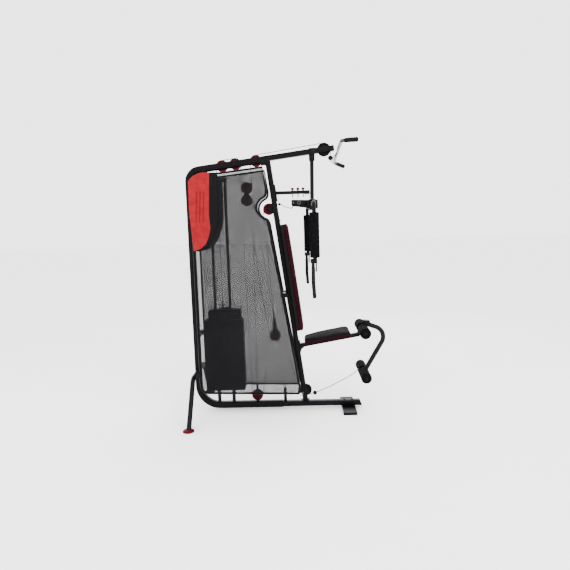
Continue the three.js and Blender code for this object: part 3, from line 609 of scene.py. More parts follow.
def boom_tube():
    start, end = BOOM_JOINT_X + JOINT_GAP, BOOM_FRONT_X
    tube = flat_tube((start, front_boom_middle(BOOM_JOINT_X)), (end, front_boom_middle(end)))
    made = piece("boom_tube_body", tube, "frame", "black_paint", ["boom_tube"])
    lat = middle_xz("lat_pulley")
    carve(made, [slot_cutter(lat, LAT_PULLEY_RADIUS)])
    cheek = [(198, 1998), (240, 2000), (240, 1912), (231, 1905), (207, 1905), (198, 1912)]
    piece("press_bracket", assemble((twin_plates, cheek, 25, PLATE_OUT, 1.2)), "frame", "black_paint")
    upper_bolt = (PRESS_PIVOT[0], 1975)
    heads = assemble(
        (axle, lat, TUBE / 2 + 1), (axle, PRESS_PIVOT, PLATE_OUT, 6),
        (bolts_across, [lat], TUBE / 2), (bolts_across, [PRESS_PIVOT, upper_bolt], PLATE_OUT, 7),
    )
    piece("boom_bolts", heads, "frame", "bolt_black")


def upright():
    foot = 61.3
    head = boom_middle(-110) - 27
    tube = flat_tube((upright_middle(foot), foot), (upright_middle(head), head))
    made = piece("upright_tube", tube, "frame", "black_paint", ["upright"])
    slots = (
        ((50, 180), (-13, 13), (98, 208), 0),
        ((-110, -30), (-9, 9), (1588, 1612), 0),
        ((-110, -62), (-13, 13), (1508, 1614), 0),
    )
    carve(made, [assemble((block, *size)) for size in slots])
    head_plate = [(-165, 1890), (-92, 1890), (-92, 1941), (-165, 1932)]
    cheek = [(92, 126), (122, 118), (146, 124), (158, 142), (156, 162), (138, 178), (84, 184)]
    notch_plate = [(-129, 1550), (-80, 1532), (-84, 1596), (-126, 1588)]
    foot_plate = [(88, 61.5), (160, 61.5), (156, 66), (92, 66)]
    plates = assemble(
        (twin_plates, head_plate, 25.5, PLATE_OUT, 1), (twin_plates, cheek, 25, 28, 1),
        (twin_plates, notch_plate, 14, 18, 1), (prism, foot_plate, -34, 34, 1),
    )
    piece("upright_plates", plates, "frame", "black_paint")
    upright_bolts()
    low_pulley_extras()


def upright_bolts():
    low, notch = middle_xz("low_pulley"), middle_xz("notch_pulley")
    heads = assemble(
        (axle, low, 28), (axle, notch, 18), (bolts_across, [low], 28, 7), (bolts_across, [notch], 18, 6),
        (bolts_across, [(-150, 1911), (-106, 1916)], PLATE_OUT),
    )
    lean = math.atan(UPRIGHT_LEAN)
    for z in (1720, 1645, 1475, 640, 480):
        bolt(heads, (upright_middle(z) + 20.2, 0, z), (math.cos(lean), 0, math.sin(lean)), 6)
    for side in (-1, 1):
        bolt(heads, (148, side * 24, 66), (0, 0, 1), 5)
    piece("upright_bolts", heads, "frame", "bolt_black")


def low_pulley_extras():
    """Rubber stops and small bright bolts on both sides of the low pulley's plates."""
    stop = [(0, 0), (14, 0), (15, 1), (15, 5), (13, 6.5), (0, 6.5)]
    stops, bolts = bmesh.new(), bmesh.new()
    for side in (-1, 1):
        lathe(stops, stop, (82, side * 25.3, 144), (0, side, 0), 32)
        bolt(bolts, (102, side * 25.3, 112), (0, side, 0), 5)
        bolt(bolts, (106, side * 28.2, 134), (0, side, 0), 4)
    piece("upright_stops", stops, "frame", "black_plastic")
    piece("low_clip_bolts", bolts, "frame", "chrome")


def rear_stabiliser():
    z, radius = 322, 18
    corners = [(REAR_X, -445, -3), (REAR_X, -214, z), (REAR_X, 214, z), (REAR_X, 445, -3)]
    tube = assemble((sweep, circle(radius, 32), bent_path(corners, 70, 5), (1, 0, 0)))
    made = piece("rear_stabiliser_tube", tube, "frame", "black_paint", ["rear_stabiliser"])
    carve(made, [assemble((block, (-800, -600), (-600, 600), (-60, 18.3), 0))])
    clamp = bmesh.new()
    for side in (-1, 1):
        lathe(clamp, [(18.4, 0), (22, 0), (22, 6), (18.4, 6)], (REAR_X, side * 28, z), (0, side, 0), 32)
    piece("stabiliser_collars", clamp, "frame", "black_paint")


def rear_feet():
    profile = [(8, 0), (40, 0), (41.5, 1.5), (41.5, 9), (40, 11), (33, 14), (30, 17), (28, 18), (8, 18)]
    for name, side in SIDES:
        disc = assemble((lathe, profile, (REAR_X - 3, side * 431, 0), (0, 0, 1), 44))
        piece(f"rear_foot_{name}_disc", disc, "frame", "red_plastic", [f"rear_foot_{name}"])


# ---- guards

def between(a, b, share):
    return a[0] + (b[0] - a[0]) * share, a[1] + (b[1] - a[1]) * share


def quadratic(start, control, end, steps=6):
    """Points along a parabola from start, which is left out, to end."""
    shares = [i / steps for i in range(1, steps + 1)]
    return [between(between(start, control, t), between(control, end, t), t) for t in shares]


BAY = (-118, 1568)
BAY_RADIUS = 72
BAY_TURN = (-1.8, -4.3)


def guard_outline(inset):
    """The guard's outline as in the CAD model, offset inwards by inset."""
    rear = -683 + inset

    def front(z):
        return 0.5 - GUARD_LEAN * (z - 777) - inset

    start, end = BAY_TURN
    angles = [start + (end - start) * i / 18 for i in range(19)]
    radius = BAY_RADIUS + inset
    bay = [(BAY[0] + radius * math.cos(a), BAY[1] + radius * math.sin(a)) for a in angles]
    points = [(-610, 167 + inset), (80, 150 + inset), (front(205), 205), (front(1420), 1420)]
    points += quadratic(points[-1], (-107 - inset, 1470), bay[0]) + bay[1:]
    points += quadratic(points[-1], (-113 - inset, 1654), (-117 - inset, 1700))
    points += [(-138 - inset, 1869 - inset), (-600, 1822 - inset)]
    points += quadratic(points[-1], (rear, 1812 - inset), (rear, 1720))
    points.append((rear, 250))
    points += quadratic(points[-1], (rear, 167 + inset), (-610, 167 + inset))
    return points[:-1]


def crossings(outline, normal, offset):
    """Where the line normal . p = offset crosses the outline, in order along the line."""
    along = (-normal[1], normal[0])
    found = []
    for a, b in zip(outline, outline[1:] + outline[:1]):
        da = normal[0] * a[0] + normal[1] * a[1] - offset
        db = normal[0] * b[0] + normal[1] * b[1] - offset
        if (da > 0) != (db > 0):
            point = between(a, b, da / (da - db))
            found.append((along[0] * point[0] + along[1] * point[1], point))
    return [point for _, point in sorted(found)]


STRAND_PITCH = 3.6
STRAND_WIDTH = 1.75
STRAND_TURNS = {-1: (30, 135), 1: (150, 45)}


def guard_sheet(side):
    """Crossed strands, clipped to the guard's outline. The two directions lie against each other."""
    outline = guard_outline(GUARD_TUBE_RADIUS)
    shape = bmesh.new()
    for layer, degrees in zip((-0.5, 0.5), STRAND_TURNS[side]):
        angle = math.radians(degrees)
        normal = (math.cos(angle), math.sin(angle))
        reach = [normal[0] * x + normal[1] * z for x, z in outline]
        offset = min(reach) + STRAND_PITCH / 2
        y = side * GUARD_Y + layer
        while offset < max(reach):
            points = crossings(outline, normal, offset)
            for start, end in zip(points[::2], points[1::2]):
                strand(shape, start, end, normal, y)
            offset += STRAND_PITCH
    return shape


def strand(shape, start, end, normal, y):
    half, thick = STRAND_WIDTH / 2, 0.5
    corners = []
    for x, z in (start, end):
        for across, depth in ((-half, -thick), (half, -thick), (half, thick), (-half, thick)):
            corners.append(shape.verts.new((x + across * normal[0], y + depth, z + across * normal[1])))
    a, b = corners[:4], corners[4:]
    shape.faces.new(a)
    shape.faces.new(list(reversed(b)))
    for k in range(4):
        n = (k + 1) % 4
        shape.faces.new((a[k], b[k], b[n], a[n]))


def guard_border(side):
    points = [Vector((x, side * GUARD_Y, z)) for x, z in guard_outline(GUARD_TUBE_RADIUS)]
    shape = bmesh.new()
    sweep(shape, circle(GUARD_TUBE_RADIUS, 18), closed_stations(points), (0, 1, 0), closed=True)
    ys = sorted((side * 25.3, side * (GUARD_Y - GUARD_TUBE_RADIUS)))
    for x0, x1, z in ((-700, -668, 1500), (-700, -668, 600), (-46, 12, 900)):
        block(shape, (x0, x1), ys, (z, z + 30), 2)
    return shape


PANEL_EDGE = [(-533, 1836), (-548, 1530), (-541, 1428), (-557, 1370), (-583, 1313), (-622, 1282), (-674, 1266)]
PANEL = PANEL_EDGE + [(-684, 1400), (-694, 1577), (-690, 1776), (-680, 1790), (-650, 1817), (-600, 1836)]
PANEL_BAND = PANEL_EDGE + [(-620, 1262), (-570, 1283), (-526, 1350), (-495, 1428), (-479, 1498), (-476, 1834)]


def corner_panels():
    for name, side in SIDES:
        inner, outer = side * 128.5, side * 130.5
        marks = bmesh.new()
        for k in range(3):
            x = -650 + 26 * k
            stripe = [(x, 1480), (x + 9, 1480), (x + 24, 1700), (x + 15, 1700)]
            prism(marks, stripe, *sorted((outer, side * 131)), 0.2)
        red, band = (assemble((prism, edge, *sorted((inner, outer)), 0.5)) for edge in (PANEL, PANEL_BAND))
        piece(f"corner_panel_{name}", red, "frame", "red_panel")
        piece(f"panel_band_{name}", band, "frame", "black_plastic")
        piece(f"panel_stripes_{name}", marks, "frame", "panel_mark")


def guards():
    for name, side in SIDES:
        piece(f"guard_border_{name}", guard_border(side), "frame", "black_paint", [f"guard_{name}"])
        piece(f"guard_sheet_{name}", guard_sheet(side), "frame", "guard_mesh")
    corner_panels()


# ---- pulleys, blocks and stack

def pulley(node, radius, look):
    x, z = middle_xz(node)
    half, floor, lip = 11, radius - 6, 3.5
    cheek = [
        (5.6, half), (13, half), (14, half - 1), (14.5, 4), (radius - 13, 4), (radius - 11, half - 1),
        (radius - 10, half), (radius - 0.8, half), (radius, half - 0.8), (floor + 0.5, lip),
    ]
    profile = [(r, -height) for r, height in cheek] + [(floor, 0)] + cheek[::-1]
    shape = assemble((lathe, profile, (x, 0, z), (0, 1, 0), 48))
    inner, outer, half_rib = 13.5, radius - 11.5, 1.4
    for way in circle(1, 6):
        outline = [
            (x + r * way[0] - s * half_rib * way[1], z + r * way[1] + s * half_rib * way[0])
            for r, s in ((inner, -1), (outer, -1), (outer, 1), (inner, 1))
        ]
        prism(shape, outline, -8.5, 8.5, 0.4, 1)
    piece(f"{node}_wheel", shape, node, look, [node])


BLOCK_PULLEYS = ("block_pulley_upper", "block_pulley_lower", "floating_pulley")
RED_PULLEYS = BOOM_PULLEYS + BLOCK_PULLEYS + ("base_pulley", "notch_pulley")


def pulleys():
    for node in RED_PULLEYS:
        pulley(node, PULLEY_RADIUS, "red_plastic")
    pulley("low_pulley", PULLEY_RADIUS, "black_plastic")
    pulley("lat_pulley", LAT_PULLEY_RADIUS, "black_plastic")
    places = [middle_xz(name) for name in BLOCK_PULLEYS] + [(-100, 716)]
    piece("block_bolts", assemble((bolts_across, places, 17)), "frame", "bolt_black")


def stack():
    for i in range(1, 9):
        dress(f"weight_plate_{i}", "plate_shell", 2)
    dress("stack_head", "plate_shell", 3)
    for node in ("selector_rod", "guide_rod_rear", "guide_rod_front"):
        dress(node, "dark_steel", 0.6)
    dress("selector_pin", "red_plastic", 1.5)
    ring_profile = [(9.5, 0), (17, 0), (18, 1.5), (18, 10), (16, 12), (9.5, 12)]
    collar = assemble((lathe, ring_profile, (-470, 0, 808.5), (0, 0, 1)))
    piece("stack_collar", collar, "lifted_stack", "bolt_black")
    rod_x = centre("guide_rod_front").x
    rod_sleeve = assemble((lathe, sleeve(11.8, 17, 0, 19), (rod_x, 0, 1777), (0, 0, 1), 32))
    piece("rod_sleeve", rod_sleeve, "frame", "black_plastic")


def loop_of(shape, outline, across, over, height):
    """A loop of vertices: the outline scaled about its middle, at a height."""
    middle, _ = outline_frame(outline)
    return [
        shape.verts.new((middle.x + (x - middle.x) * across, middle.y + (y - middle.y) * over, height))
        for x, y in outline
    ]


# ---- cushions

# Each cushion starts a little smaller than its CAD solid, and swells by up to the cap.
CUSHION_VOXEL = 5
CUSHION_CAP = 5
BACKREST_LENGTH = 818
BACKREST_WIDTH = 248
BACKREST_CORNER = 36


def simulate_cushion(target):
    """Swells a closed form with cloth pressure, then limits how far any point has moved."""
    remesh = target.modifiers.new("remesh", "REMESH")
    remesh.mode = "VOXEL"
    remesh.voxel_size = CUSHION_VOXEL * MM
    apply_modifiers(target)
    before = [v.co.copy() for v in target.data.vertices]
    cloth = target.modifiers.new("cloth", "CLOTH")
    cloth.settings.use_pressure = True
    cloth.settings.uniform_pressure_force = 4
    cloth.settings.effector_weights.gravity = 0
    cloth.settings.quality = 5
    for number in range(1, 21):
        bpy.context.scene.frame_set(number)
    apply_modifiers(target)
    bpy.context.scene.frame_set(1)
    for vertex, start in zip(target.data.vertices, before):
        moved = vertex.co - start
        if moved.length > CUSHION_CAP * MM:
            vertex.co = start + moved.normalized() * CUSHION_CAP * MM
    fine = target.modifiers.new("fine", "SUBSURF")
    fine.levels = 1
    fine.render_levels = 1
    apply_modifiers(target)
    target.data.polygons.foreach_set("use_smooth", [True] * len(target.data.polygons))


def crowned(outline, low, depth, crown, stretch, inset=13, rings=6):
    """A closed cushion from height low up, with rounded edges and a crowned top. stretch softens its ends."""
    shape = bmesh.new()
    _, half = outline_frame(outline)
    levels = [(2.0, 0.0), (0.0, 0.12 * depth), (0.0, 0.5 * depth)]
    for i in range(1, rings + 1):
        angle = math.pi / 2 * i / rings
        levels.append((inset * (1 - math.cos(angle)), depth * (0.5 + 0.5 * math.sin(angle))))
    for share in (0.8, 0.6, 0.4, 0.2):
        levels.append((inset + (half.y - inset) * (1 - share), depth + crown * (1 - share ** 2)))
    bridge(shape, [
        loop_of(shape, outline, 1 - stretch * shrink / half.x, 1 - shrink / half.y, low + height)
        for shrink, height in levels
    ])
    return shape


def outline_frame(outline):
    """The middle and the half size of an outline's box."""
    xs, ys = [x for x, _ in outline], [y for _, y in outline]
    middle = Vector(((min(xs) + max(xs)) / 2, (min(ys) + max(ys)) / 2))
    return middle, Vector((max(xs), max(ys))) - middle


def bridge(shape, loops):
    """Joins loops of vertices into a closed skin, with a face over the first and the last loop."""
    count = len(loops[0])
    for a, b in zip(loops, loops[1:]):
        for k in range(count):
            n = (k + 1) % count
            shape.faces.new((a[k], a[n], b[n], b[k]))
    shape.faces.new(list(reversed(loops[0])))
    shape.faces.new(loops[-1])


def board(outline, thickness, shrink):
    """A flat board with the outline drawn in by shrink."""
    shape = bmesh.new()
    _, half = outline_frame(outline)
    across, over = 1 - shrink / half.x, 1 - shrink / half.y
    bridge(shape, [loop_of(shape, outline, across, over, height) for height in (0, thickness)])
    return shape


def seam(name, padded, outline, height, place):
    """A sewn cord laid on the side of a finished cushion, at a height above its board."""
    middle, _ = outline_frame(outline)
    points = []
    for x, y in outline:
        outward = Vector((x - middle.x, y - middle.y, 0)).normalized()
        start = Vector((x, y, height)) * MM + outward * 0.06
        hit, spot, _, _ = padded.ray_cast(start, -outward)
        points.append(spot / MM if hit else Vector((x, y, height)))
    shape = bmesh.new()
    sweep(shape, circle(1.5, 10), closed_stations(points), (0, 0, 1), closed=True)
    piece(name, shape, "frame", "seam_vinyl", place=place)


def cushion(node, shape, look, place, outline, seam_height):
    made = finish_piece(f"{node}_cushion", shape, look, [node], place)
    simulate_cushion(made)
    bpy.context.view_layer.update()
    seam(f"{node}_seam", made, outline, seam_height, place)
    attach(made, "frame")


def seat_outline():
    tail, waist, wide, front, corner = 92, 190, 134, 367, 33
    near = [(24, -tail)] + quadratic((24, -tail), (120, -wide), (waist, -wide)) + [(270, -wide)]
    near += [(front - corner, -wide)]
    near += quadratic((front - corner, -wide), (front, -wide), (front, corner - wide))
    far = [(x, -y) for x, y in reversed(near)]
    rear = quadratic((24, tail), (5, tail), (5, 70)) + [(5, 0), (5, -70)]
    return near + [(front, 0)] + far + rear + quadratic((5, -70), (5, -tail), (24, -tail))[:-1]


def seat():
    bottom = seat_bottom(SEAT_REAR_X) + JOINT_GAP
    slope = -math.atan(SEAT_SLOPE)
    place = Matrix.Translation((SEAT_REAR_X * MM, 0, bottom * MM)) @ Matrix.Rotation(slope, 4, "Y")
    outline = seat_outline()
    piece("seat_board", board(outline, 6, 4), "frame", "black_plastic", place=place)
    cushion("seat", crowned(outline, 5, 33, 9, 1.3), "seat_vinyl", place, outline, SEAT_SEAM)


def backrest():
    lean = math.atan(UPRIGHT_LEAN)
    x = upright_middle(BACKREST_Z) + FLAT_TUBE / 2 / math.cos(lean) + 0.6
    ahead = Vector((math.cos(lean), 0, math.sin(lean)))
    up = Vector((-math.sin(lean), 0, math.cos(lean)))
    axes = Matrix((up, up.cross(ahead), ahead)).transposed().to_4x4()
    place = Matrix.Translation((x * MM, 0, BACKREST_Z * MM)) @ axes
    outline = long_rect(BACKREST_LENGTH, BACKREST_WIDTH, BACKREST_CORNER)
    piece("backrest_board", board(outline, 24, 3), "frame", "black_plastic", place=place)
    cushion("backrest", crowned(outline, 22, 36, 3, 2.6), "back_vinyl", place, outline, BACK_SEAM)


def long_rect(length, width, radius, parts=12):
    """A rounded rectangle whose long sides are split, so that a seam can follow their bulge."""
    corners = rounded_rect(length, width, radius, 6)
    split = []
    for a, b in zip(corners, corners[1:] + corners[:1]):
        gap = math.dist(a, b)
        count = parts if gap > width else (4 if gap > radius else 1)
        split += [between(a, b, k / count) for k in range(count)]
    return split


# ---- seat frame, leg developer, rollers

def seat_frame():
    rear, front = 93, 551
    drop = 16
    shape = flat_tube((rear, seat_bottom(rear) - drop), (front, seat_bottom(front) - drop), 40, 30, 5)
    prism(shape, [(96, 497), (96, 466), (150, 512)], -3, 3)
    fork = [(528, 568), (562, 576), (598, 606), (598, 640), (586, 648), (560, 646)]
    twin_plates(shape, fork, 19, 24, 1)
    lean = math.atan(UPRIGHT_LEAN)
    face = upright_middle(502) + FLAT_TUBE / 2 / math.cos(lean) + JOINT_GAP
    flange = [(face + 5.4, 460), (face + 13.4, 461), (face + 2.5, 546), (face - 5.4, 545)]
    prism(shape, flange, -25, 25, 1)
    piece("seat_frame_body", shape, "frame", "black_paint", ["seat_frame"])
    piece("upper_roller_bar", roller_bar(LEG_PIVOT), "frame", "dark_steel")


def roller_bar(place):
    return assemble((axle, place, 196, 12.5, 32))


def leg_developer():
    x, z = LEG_PIVOT
    corners = flat_path([(583, 674), (776, 602), (587, 281)])
    web = [(562, 634), (598, 634), (618, 662), (618, 676), (575, 676)]
    eyelet = [(549, 290), (580, 280), (580, 296), (549, 306), (543, 298)]
    shape = assemble(
        (sweep, circle(18, 32), bent_path(corners, 82, 5), (0, 1, 0)),
        (lathe, sleeve(12.8, 21, -17, 17), (x, 0, z), (0, 1, 0), 40),
        (prism, web, -5, 5, 1), (prism, eyelet, -3, 3),
    )
    made = piece("leg_developer_tube", shape, "leg_developer", "grey_paint", ["leg_developer"])
    carve(made, [assemble((axle, LEG_PIVOT, 30, 12.8, 40))])
    piece("lower_roller_bar", roller_bar(LOWER_ROLLER), "leg_developer", "dark_steel")
    cheek = [(572, 648), (602, 644), (632, 656), (636, 668), (636, 688), (576, 691), (570, 684)]
    bracket = assemble((twin_plates, cheek, 18.5, 22, 1))
    piece("leg_developer_bracket", bracket, "leg_developer", "arm_paint")
    cover = assemble((prism, [(583, 692), (634, 687), (634, 691), (583, 696)], -22, 22, 1))
    piece("leg_developer_cover", cover, "leg_developer", "dark_steel")


def roller(node, radius, inner):
    """A foam roller with rounded ends, slightly waisted by use."""
    low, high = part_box(node)
    x, z = middle_xz(node)
    side = 1 if low.y > 0 else -1
    length = (high.y - low.y) / MM
    end = [(12.9, 0), (radius - 7, 0), (radius - 2.5, 1.2), (radius - 0.4, 4.5), (radius, 9)]
    waist = [(radius - 0.7, length * 0.3), (radius - 1.1, length * 0.5), (radius - 0.7, length * 0.7)]
    profile = end + waist + [(r, length - height) for r, height in reversed(end)]
    foam = assemble((lathe, profile, (x, side * inner, z), (0, side, 0), 48))
    piece(f"{node}_foam", foam, node, "foam", [node])
    cap_profile = [(0, -5), (11, -5), (11, 0), (15, 0), (15.5, 1), (14, 2.6), (0, 3)]
    cap = assemble((lathe, cap_profile, (x, side * (inner + length - 3.2), z), (0, side, 0), 32))
    piece(f"{node}_cap", cap, node, "black_plastic")


def rollers():
    for side, _ in SIDES:
        roller(f"upper_roller_{side}", 42, 32)
        roller(f"lower_roller_{side}", 40, 20)


# ---- press station

def press_arm():
    x, z = PRESS_PIVOT
    head_x, arm_y = ARM_PIVOT
    shape = assemble(
        (lathe, sleeve(6.3, 17, -22, 22), (x, 0, z), (0, 1, 0), 36),
        (rod, (x - 0.2, 0, z - 14), (head_x, 0, 1615), 15, 32),
        (block, (172, 256), (-52, 52), (1556, 1620), 3),
        (block, (190, 238), (-104, 104), (1611, HEAD_TOP), 2),
        (block, (190, 238), (-104, 104), (1546.5, 1557), 2),
    )
    for side in (-1, 1):
        rod(shape, (head_x, side * arm_y, 1550), (head_x, side * arm_y, 1618), 9)
    piece("press_arm_body", shape, "press_arm", "arm_paint", ["press_arm"])
    press_lever()
    collar = [(15.3, 0), (24, 0), (25, 1), (24, 5), (19, 7), (15.3, 7)]
    piece("press_head_collar", assemble((lathe, collar, (head_x, 0, HEAD_TOP), (0, 0, 1), 36)),
          "press_arm", "zinc")
    press_hooks()
    caps = bmesh.new()
    for side in (-1, 1):
        bolt(caps, (head_x, side * arm_y, HEAD_TOP), (0, 0, 1), 8)
    piece("arm_pivot_bolts", caps, "press_arm", "bolt_black")


def press_lever():
    cheek = [(57, 1592), (62, 1579), (176, 1562), (176, 1622), (58, 1626)]
    lever = assemble((twin_plates, cheek, 9, 15, 1), (block, (128, 176), (-9.5, 9.5), (1570, 1618), 1))
    piece("press_lever", lever, "press_arm", "arm_paint")


def press_hooks():
    """The pin, the rings and the two bright washers at the lever's end."""
    x, z = 72, 1603
    hooks = assemble((axle, (x, z), 14, 4))
    for forward in (14, 36):
        ring(hooks, (x + forward, 0, z), 12, 2.4, (0, 1, 0.25))
    bolts_across(hooks, [(x, z)], 15, 4.5)
    washer = [(9, 0), (13, 0), (13.5, 1), (13.5, 2), (9, 2)]
    for side in (-1, 1):
        lathe(hooks, washer, (x + 43, side * 15.2, z), (0, side, 0), 28)
    piece("press_lever_hook", hooks, "press_arm", "chrome")


def ring(shape, place, radius, wire, axis):
    """A round ring of wire about an axis."""
    place, axis = Vector(place), Vector(axis).normalized()
    first = axis.orthogonal().normalized()
    second = axis.cross(first)
    stations = []
    for k in range(28):
        angle = 2 * math.pi * k / 28
        outward = math.cos(angle) * first + math.sin(angle) * second
        way = -math.sin(angle) * first + math.cos(angle) * second
        stations.append((place + radius * outward, way))
    sweep(shape, circle(wire, 10), stations, axis, closed=True)


def arm_turn(shape, name):
    """Turns a near-side shape about its pivot, and mirrors it for the far side."""
    pivot = Vector((ARM_PIVOT[0], -ARM_PIVOT[1], 0))
    turn = Matrix.Rotation(math.radians(ARM_TURNS[name]), 4, "Z")
    move = Matrix.Translation(pivot) @ turn @ Matrix.Translation(-pivot)
    if name == "far":
        move = Matrix.Diagonal((1, -1, 1, 1)) @ move
    bmesh.ops.transform(shape, matrix=move, verts=shape.verts)
    return shape


def grip_size(z, step):
    """The grip's fine ribs, and the thicker end below z 972."""
    rib = 1.0 if step % 2 else 0.96
    return rib * (1.17 if 940 < z < 972 else 1.0)


def butterfly_arms():
    for name, _ in SIDES:
        body = f"butterfly_arm_{name}"
        piece(f"{body}_tube", arm_turn(butterfly_tube(), name), body, "arm_paint", [body])
        x, out = ARM_PIVOT[0] + 10, ARM_OUT_Y
        stub = assemble((rod, (x, out, 1118), (x, out, 1178), 5.5))
        piece(f"{body}_stub", arm_turn(stub, name), body, "chrome")
        piece(f"{body}_grip", arm_turn(butterfly_grip(), name), body, "grip_rubber")
        made = piece(f"arm_pad_{name}_foam", arm_turn(arm_pad(), name), body, "foam", [f"arm_pad_{name}"])


def butterfly_tube():
    x, out = ARM_PIVOT[0], ARM_OUT_Y
    path = [(x, -98, 1584), (x + 3, out, 1584), (x + 3, out, 1194)]
    return assemble(
        (lathe, sleeve(9.3, 19, 0, 52), (x, -ARM_PIVOT[1], 1558), (0, 0, 1), 36),
        (sweep, circle(14, 24), bent_path(path, 45, 6), (1, 0, 0)),
        (block, (x - 28, x + 17), (out - 13, out + 13), (1176, 1206), 3),
        (rod, (x - 11, out, 1178), (x - 11.6, out, 1100), 11),
    )


def butterfly_grip():
    x, out = ARM_PIVOT[0], ARM_OUT_Y
    stations = bent_path([(x - 11, out, 1150), (x - 12, out, 1040), (x - 6, out, 937)], 120, 1)
    sizes = [grip_size(point.z, i) for i, (point, _) in enumerate(stations)]
    return assemble((sweep, circle(13.4, 24), stations, (0, 1, 0), False, sizes))


def arm_pad():
    profile = [(14.2, 1213), (26, 1213), (31, 1214.5), (33.2, 1219), (32.8, 1290), (32.4, 1366)]
    profile += [(32.8, 1440), (33.2, 1512), (31, 1516.5), (26, 1518), (14.2, 1518)]
    return assemble((lathe, profile, (ARM_PIVOT[0] + 3, ARM_OUT_Y, 0), (0, 0, 1), 48))


def pull_pins():
    shank = [(0, 1641), (4, 1642), (4, 1690), (6.5, 1694), (6.5, 1701), (0, 1701)]
    profile = [(0, 0), (10, 0), (11, 1.5), (11, 11), (9.5, 14.5), (6, 16), (0, 16.3)]
    for i in (1, 2, 3):
        node = f"pull_pin_{i}"
        x = centre(node).x
        piece(f"{node}_shank", assemble((lathe, shank, (x, 0, 0), (0, 0, 1), 24)), node, "zinc")
        knob = assemble((lathe, profile, (x, 0, 1699.6), (0, 0, 1), 32))
        for across, over in circle(10.2, 8):
            rod(knob, (x + across, over, 1701.5), (x + across, over, 1711), 1.1, 10)
        piece(f"{node}_knob", knob, node, "knob_plastic", [node])
    path = flat_path([(152, 1652), (168, 1649), (186, 1650), (196, 1662)], -16)
    lanyard = assemble((sweep, circle(1.2, 8), bent_path(path, 8, 20), (0, 1, 0)))
    piece("pin_lanyard", lanyard, "frame", "cable_sheath")


# ---- lat bar

def tilt_bar(shape):
    move = Matrix.Translation((0, 0, LAT_BAR[1])) @ Matrix.Rotation(math.radians(-LAT_BAR_TILT), 4, "X")
    move = move @ Matrix.Translation((0, 0, -LAT_BAR[1]))
    bmesh.ops.transform(shape, matrix=move, verts=shape.verts)
    return shape


def lat_bar():
    x, z = LAT_BAR
    corners = [(x + 90, -496, z - 17.6), (x, -398, z), (x, 398, z), (x + 90, 496, z - 17.6)]
    bar = assemble((sweep, circle(12.5, 32), bent_path(corners, 45, 5), (0, 0, 1)))
    piece("lat_bar_tube", tilt_bar(bar), "lat_bar", "chrome", ["lat_bar"])
    for name, side in SIDES:
        lat_grip(name, Vector((x + 22, side * 422, z - 4.3)), Vector((x + 89, side * 494.5, z - 17.4)))
    hardware = assemble(
        (prism, [(385, 1938), (397, 1934), (412, 1955), (404, 1966)], -4, 4, 0.8),
        (ring, (388, 0, 1932), 9, 2.6, (0, 1, 0)),
        (ring, (375, 0, 1917), 9, 2.6, (0.4, 0, 1)),
        (ring, (364, 0, 1904), 8, 2.4, (0, 1, 0)),
    )
    piece("lat_hook", hardware, "lat_bar", "chrome")
    piece("lat_stop", assemble((ball, (358.1, 0, 1925), 19, (0, 0, 1))), "lat_bar", "black_plastic")


def lat_grip(name, start, end, steps=22):
    """A finely ribbed grip and its end cap."""
    way = (end - start).normalized()
    stations = [(start + (end - start) * k / steps, way) for k in range(steps + 1)]
    sizes = [1.0 if k % 2 else 0.955 for k in range(steps + 1)]
    grip = assemble((sweep, circle(15.6, 28), stations, (0, 0, 1), False, sizes))
    piece(f"lat_grip_{name}", tilt_bar(grip), "lat_bar", "grip_rubber")
    profile = [(0, -8), (16, -8), (16.4, -6), (16.2, 1), (13, 3.5), (0, 4)]
    piece(f"lat_cap_{name}", tilt_bar(assemble((lathe, profile, end, way, 32))), "lat_bar", "black_plastic")


# ---- cables

def tangent_way(a, b):
    offset = b[3] * b[2] - a[3] * a[2]
    return math.atan2(b[1] - a[1], b[0] - a[0]) - math.asin(offset / math.hypot(b[0] - a[0], b[1] - a[1]))


def cable_stations(route, step=12):
    """Stations of a cable over stops (x, z, radius, turn): turn 1 goes round anticlockwise, -1 clockwise."""
    stops = [stop if len(stop) == 4 else (*stop, 0, 1) for stop in route]
    ways = [tangent_way(a, b) for a, b in zip(stops, stops[1:])]
    stations = []
    for i, (x, z, radius, turn) in enumerate(stops):
        arrive, leave = ways[max(0, i - 1)], ways[min(i, len(ways) - 1)]
        if radius > 0:
            angle = turn * (((leave - arrive) * turn) % (2 * math.pi))
            steps = max(1, math.ceil(abs(math.degrees(angle)) / step))
            headings = [arrive + angle * k / steps for k in range(steps + 1)]
        else:
            headings = [arrive + math.asin(math.sin(leave - arrive)) / 2]
        for heading in headings:
            point = Vector((x + turn * radius * math.sin(heading), 0, z - turn * radius * math.cos(heading)))
            stations.append((point, Vector((math.cos(heading), 0, math.sin(heading)))))
    return stations


def over(node, turn, radius=CABLE_SEAT):
    return (*middle_xz(node), radius, turn)


def cable_shape(stations, radius=CABLE_RADIUS, side=(0, 1, 0)):
    shape = bmesh.new()
    sweep(shape, circle(radius, 12), stations, side)
    return shape


def fixed_cables():
    lat_x, lat_z = middle_xz("lat_pulley")
    rear_z = middle_xz("boom_pulley_rear")[1]
    routes = {
        "lat_cable": [
            (lat_x + LAT_CABLE_SEAT, lat_z - 1), over("lat_pulley", 1, LAT_CABLE_SEAT),
            over("boom_pulley_front", 1), over("block_pulley_upper", -1), over("boom_pulley_middle", 1),
            over("boom_pulley_rear", 1), (STACK_CABLE_X, rear_z - 1),
        ],
        "low_cable": [
            (200, 121.5), over("low_pulley", -1), over("floating_pulley", 1), over("base_pulley", -1),
            over("block_pulley_lower", -1), (-251, 440),
        ],
        "press_cable": [(-35, 1597), over("notch_pulley", 1), (-100, 722)],
    }
    for node, route in routes.items():
        piece(f"{node}_run", cable_shape(cable_stations(route)), "frame", "cable_sheath", [node])
    guide_cord()


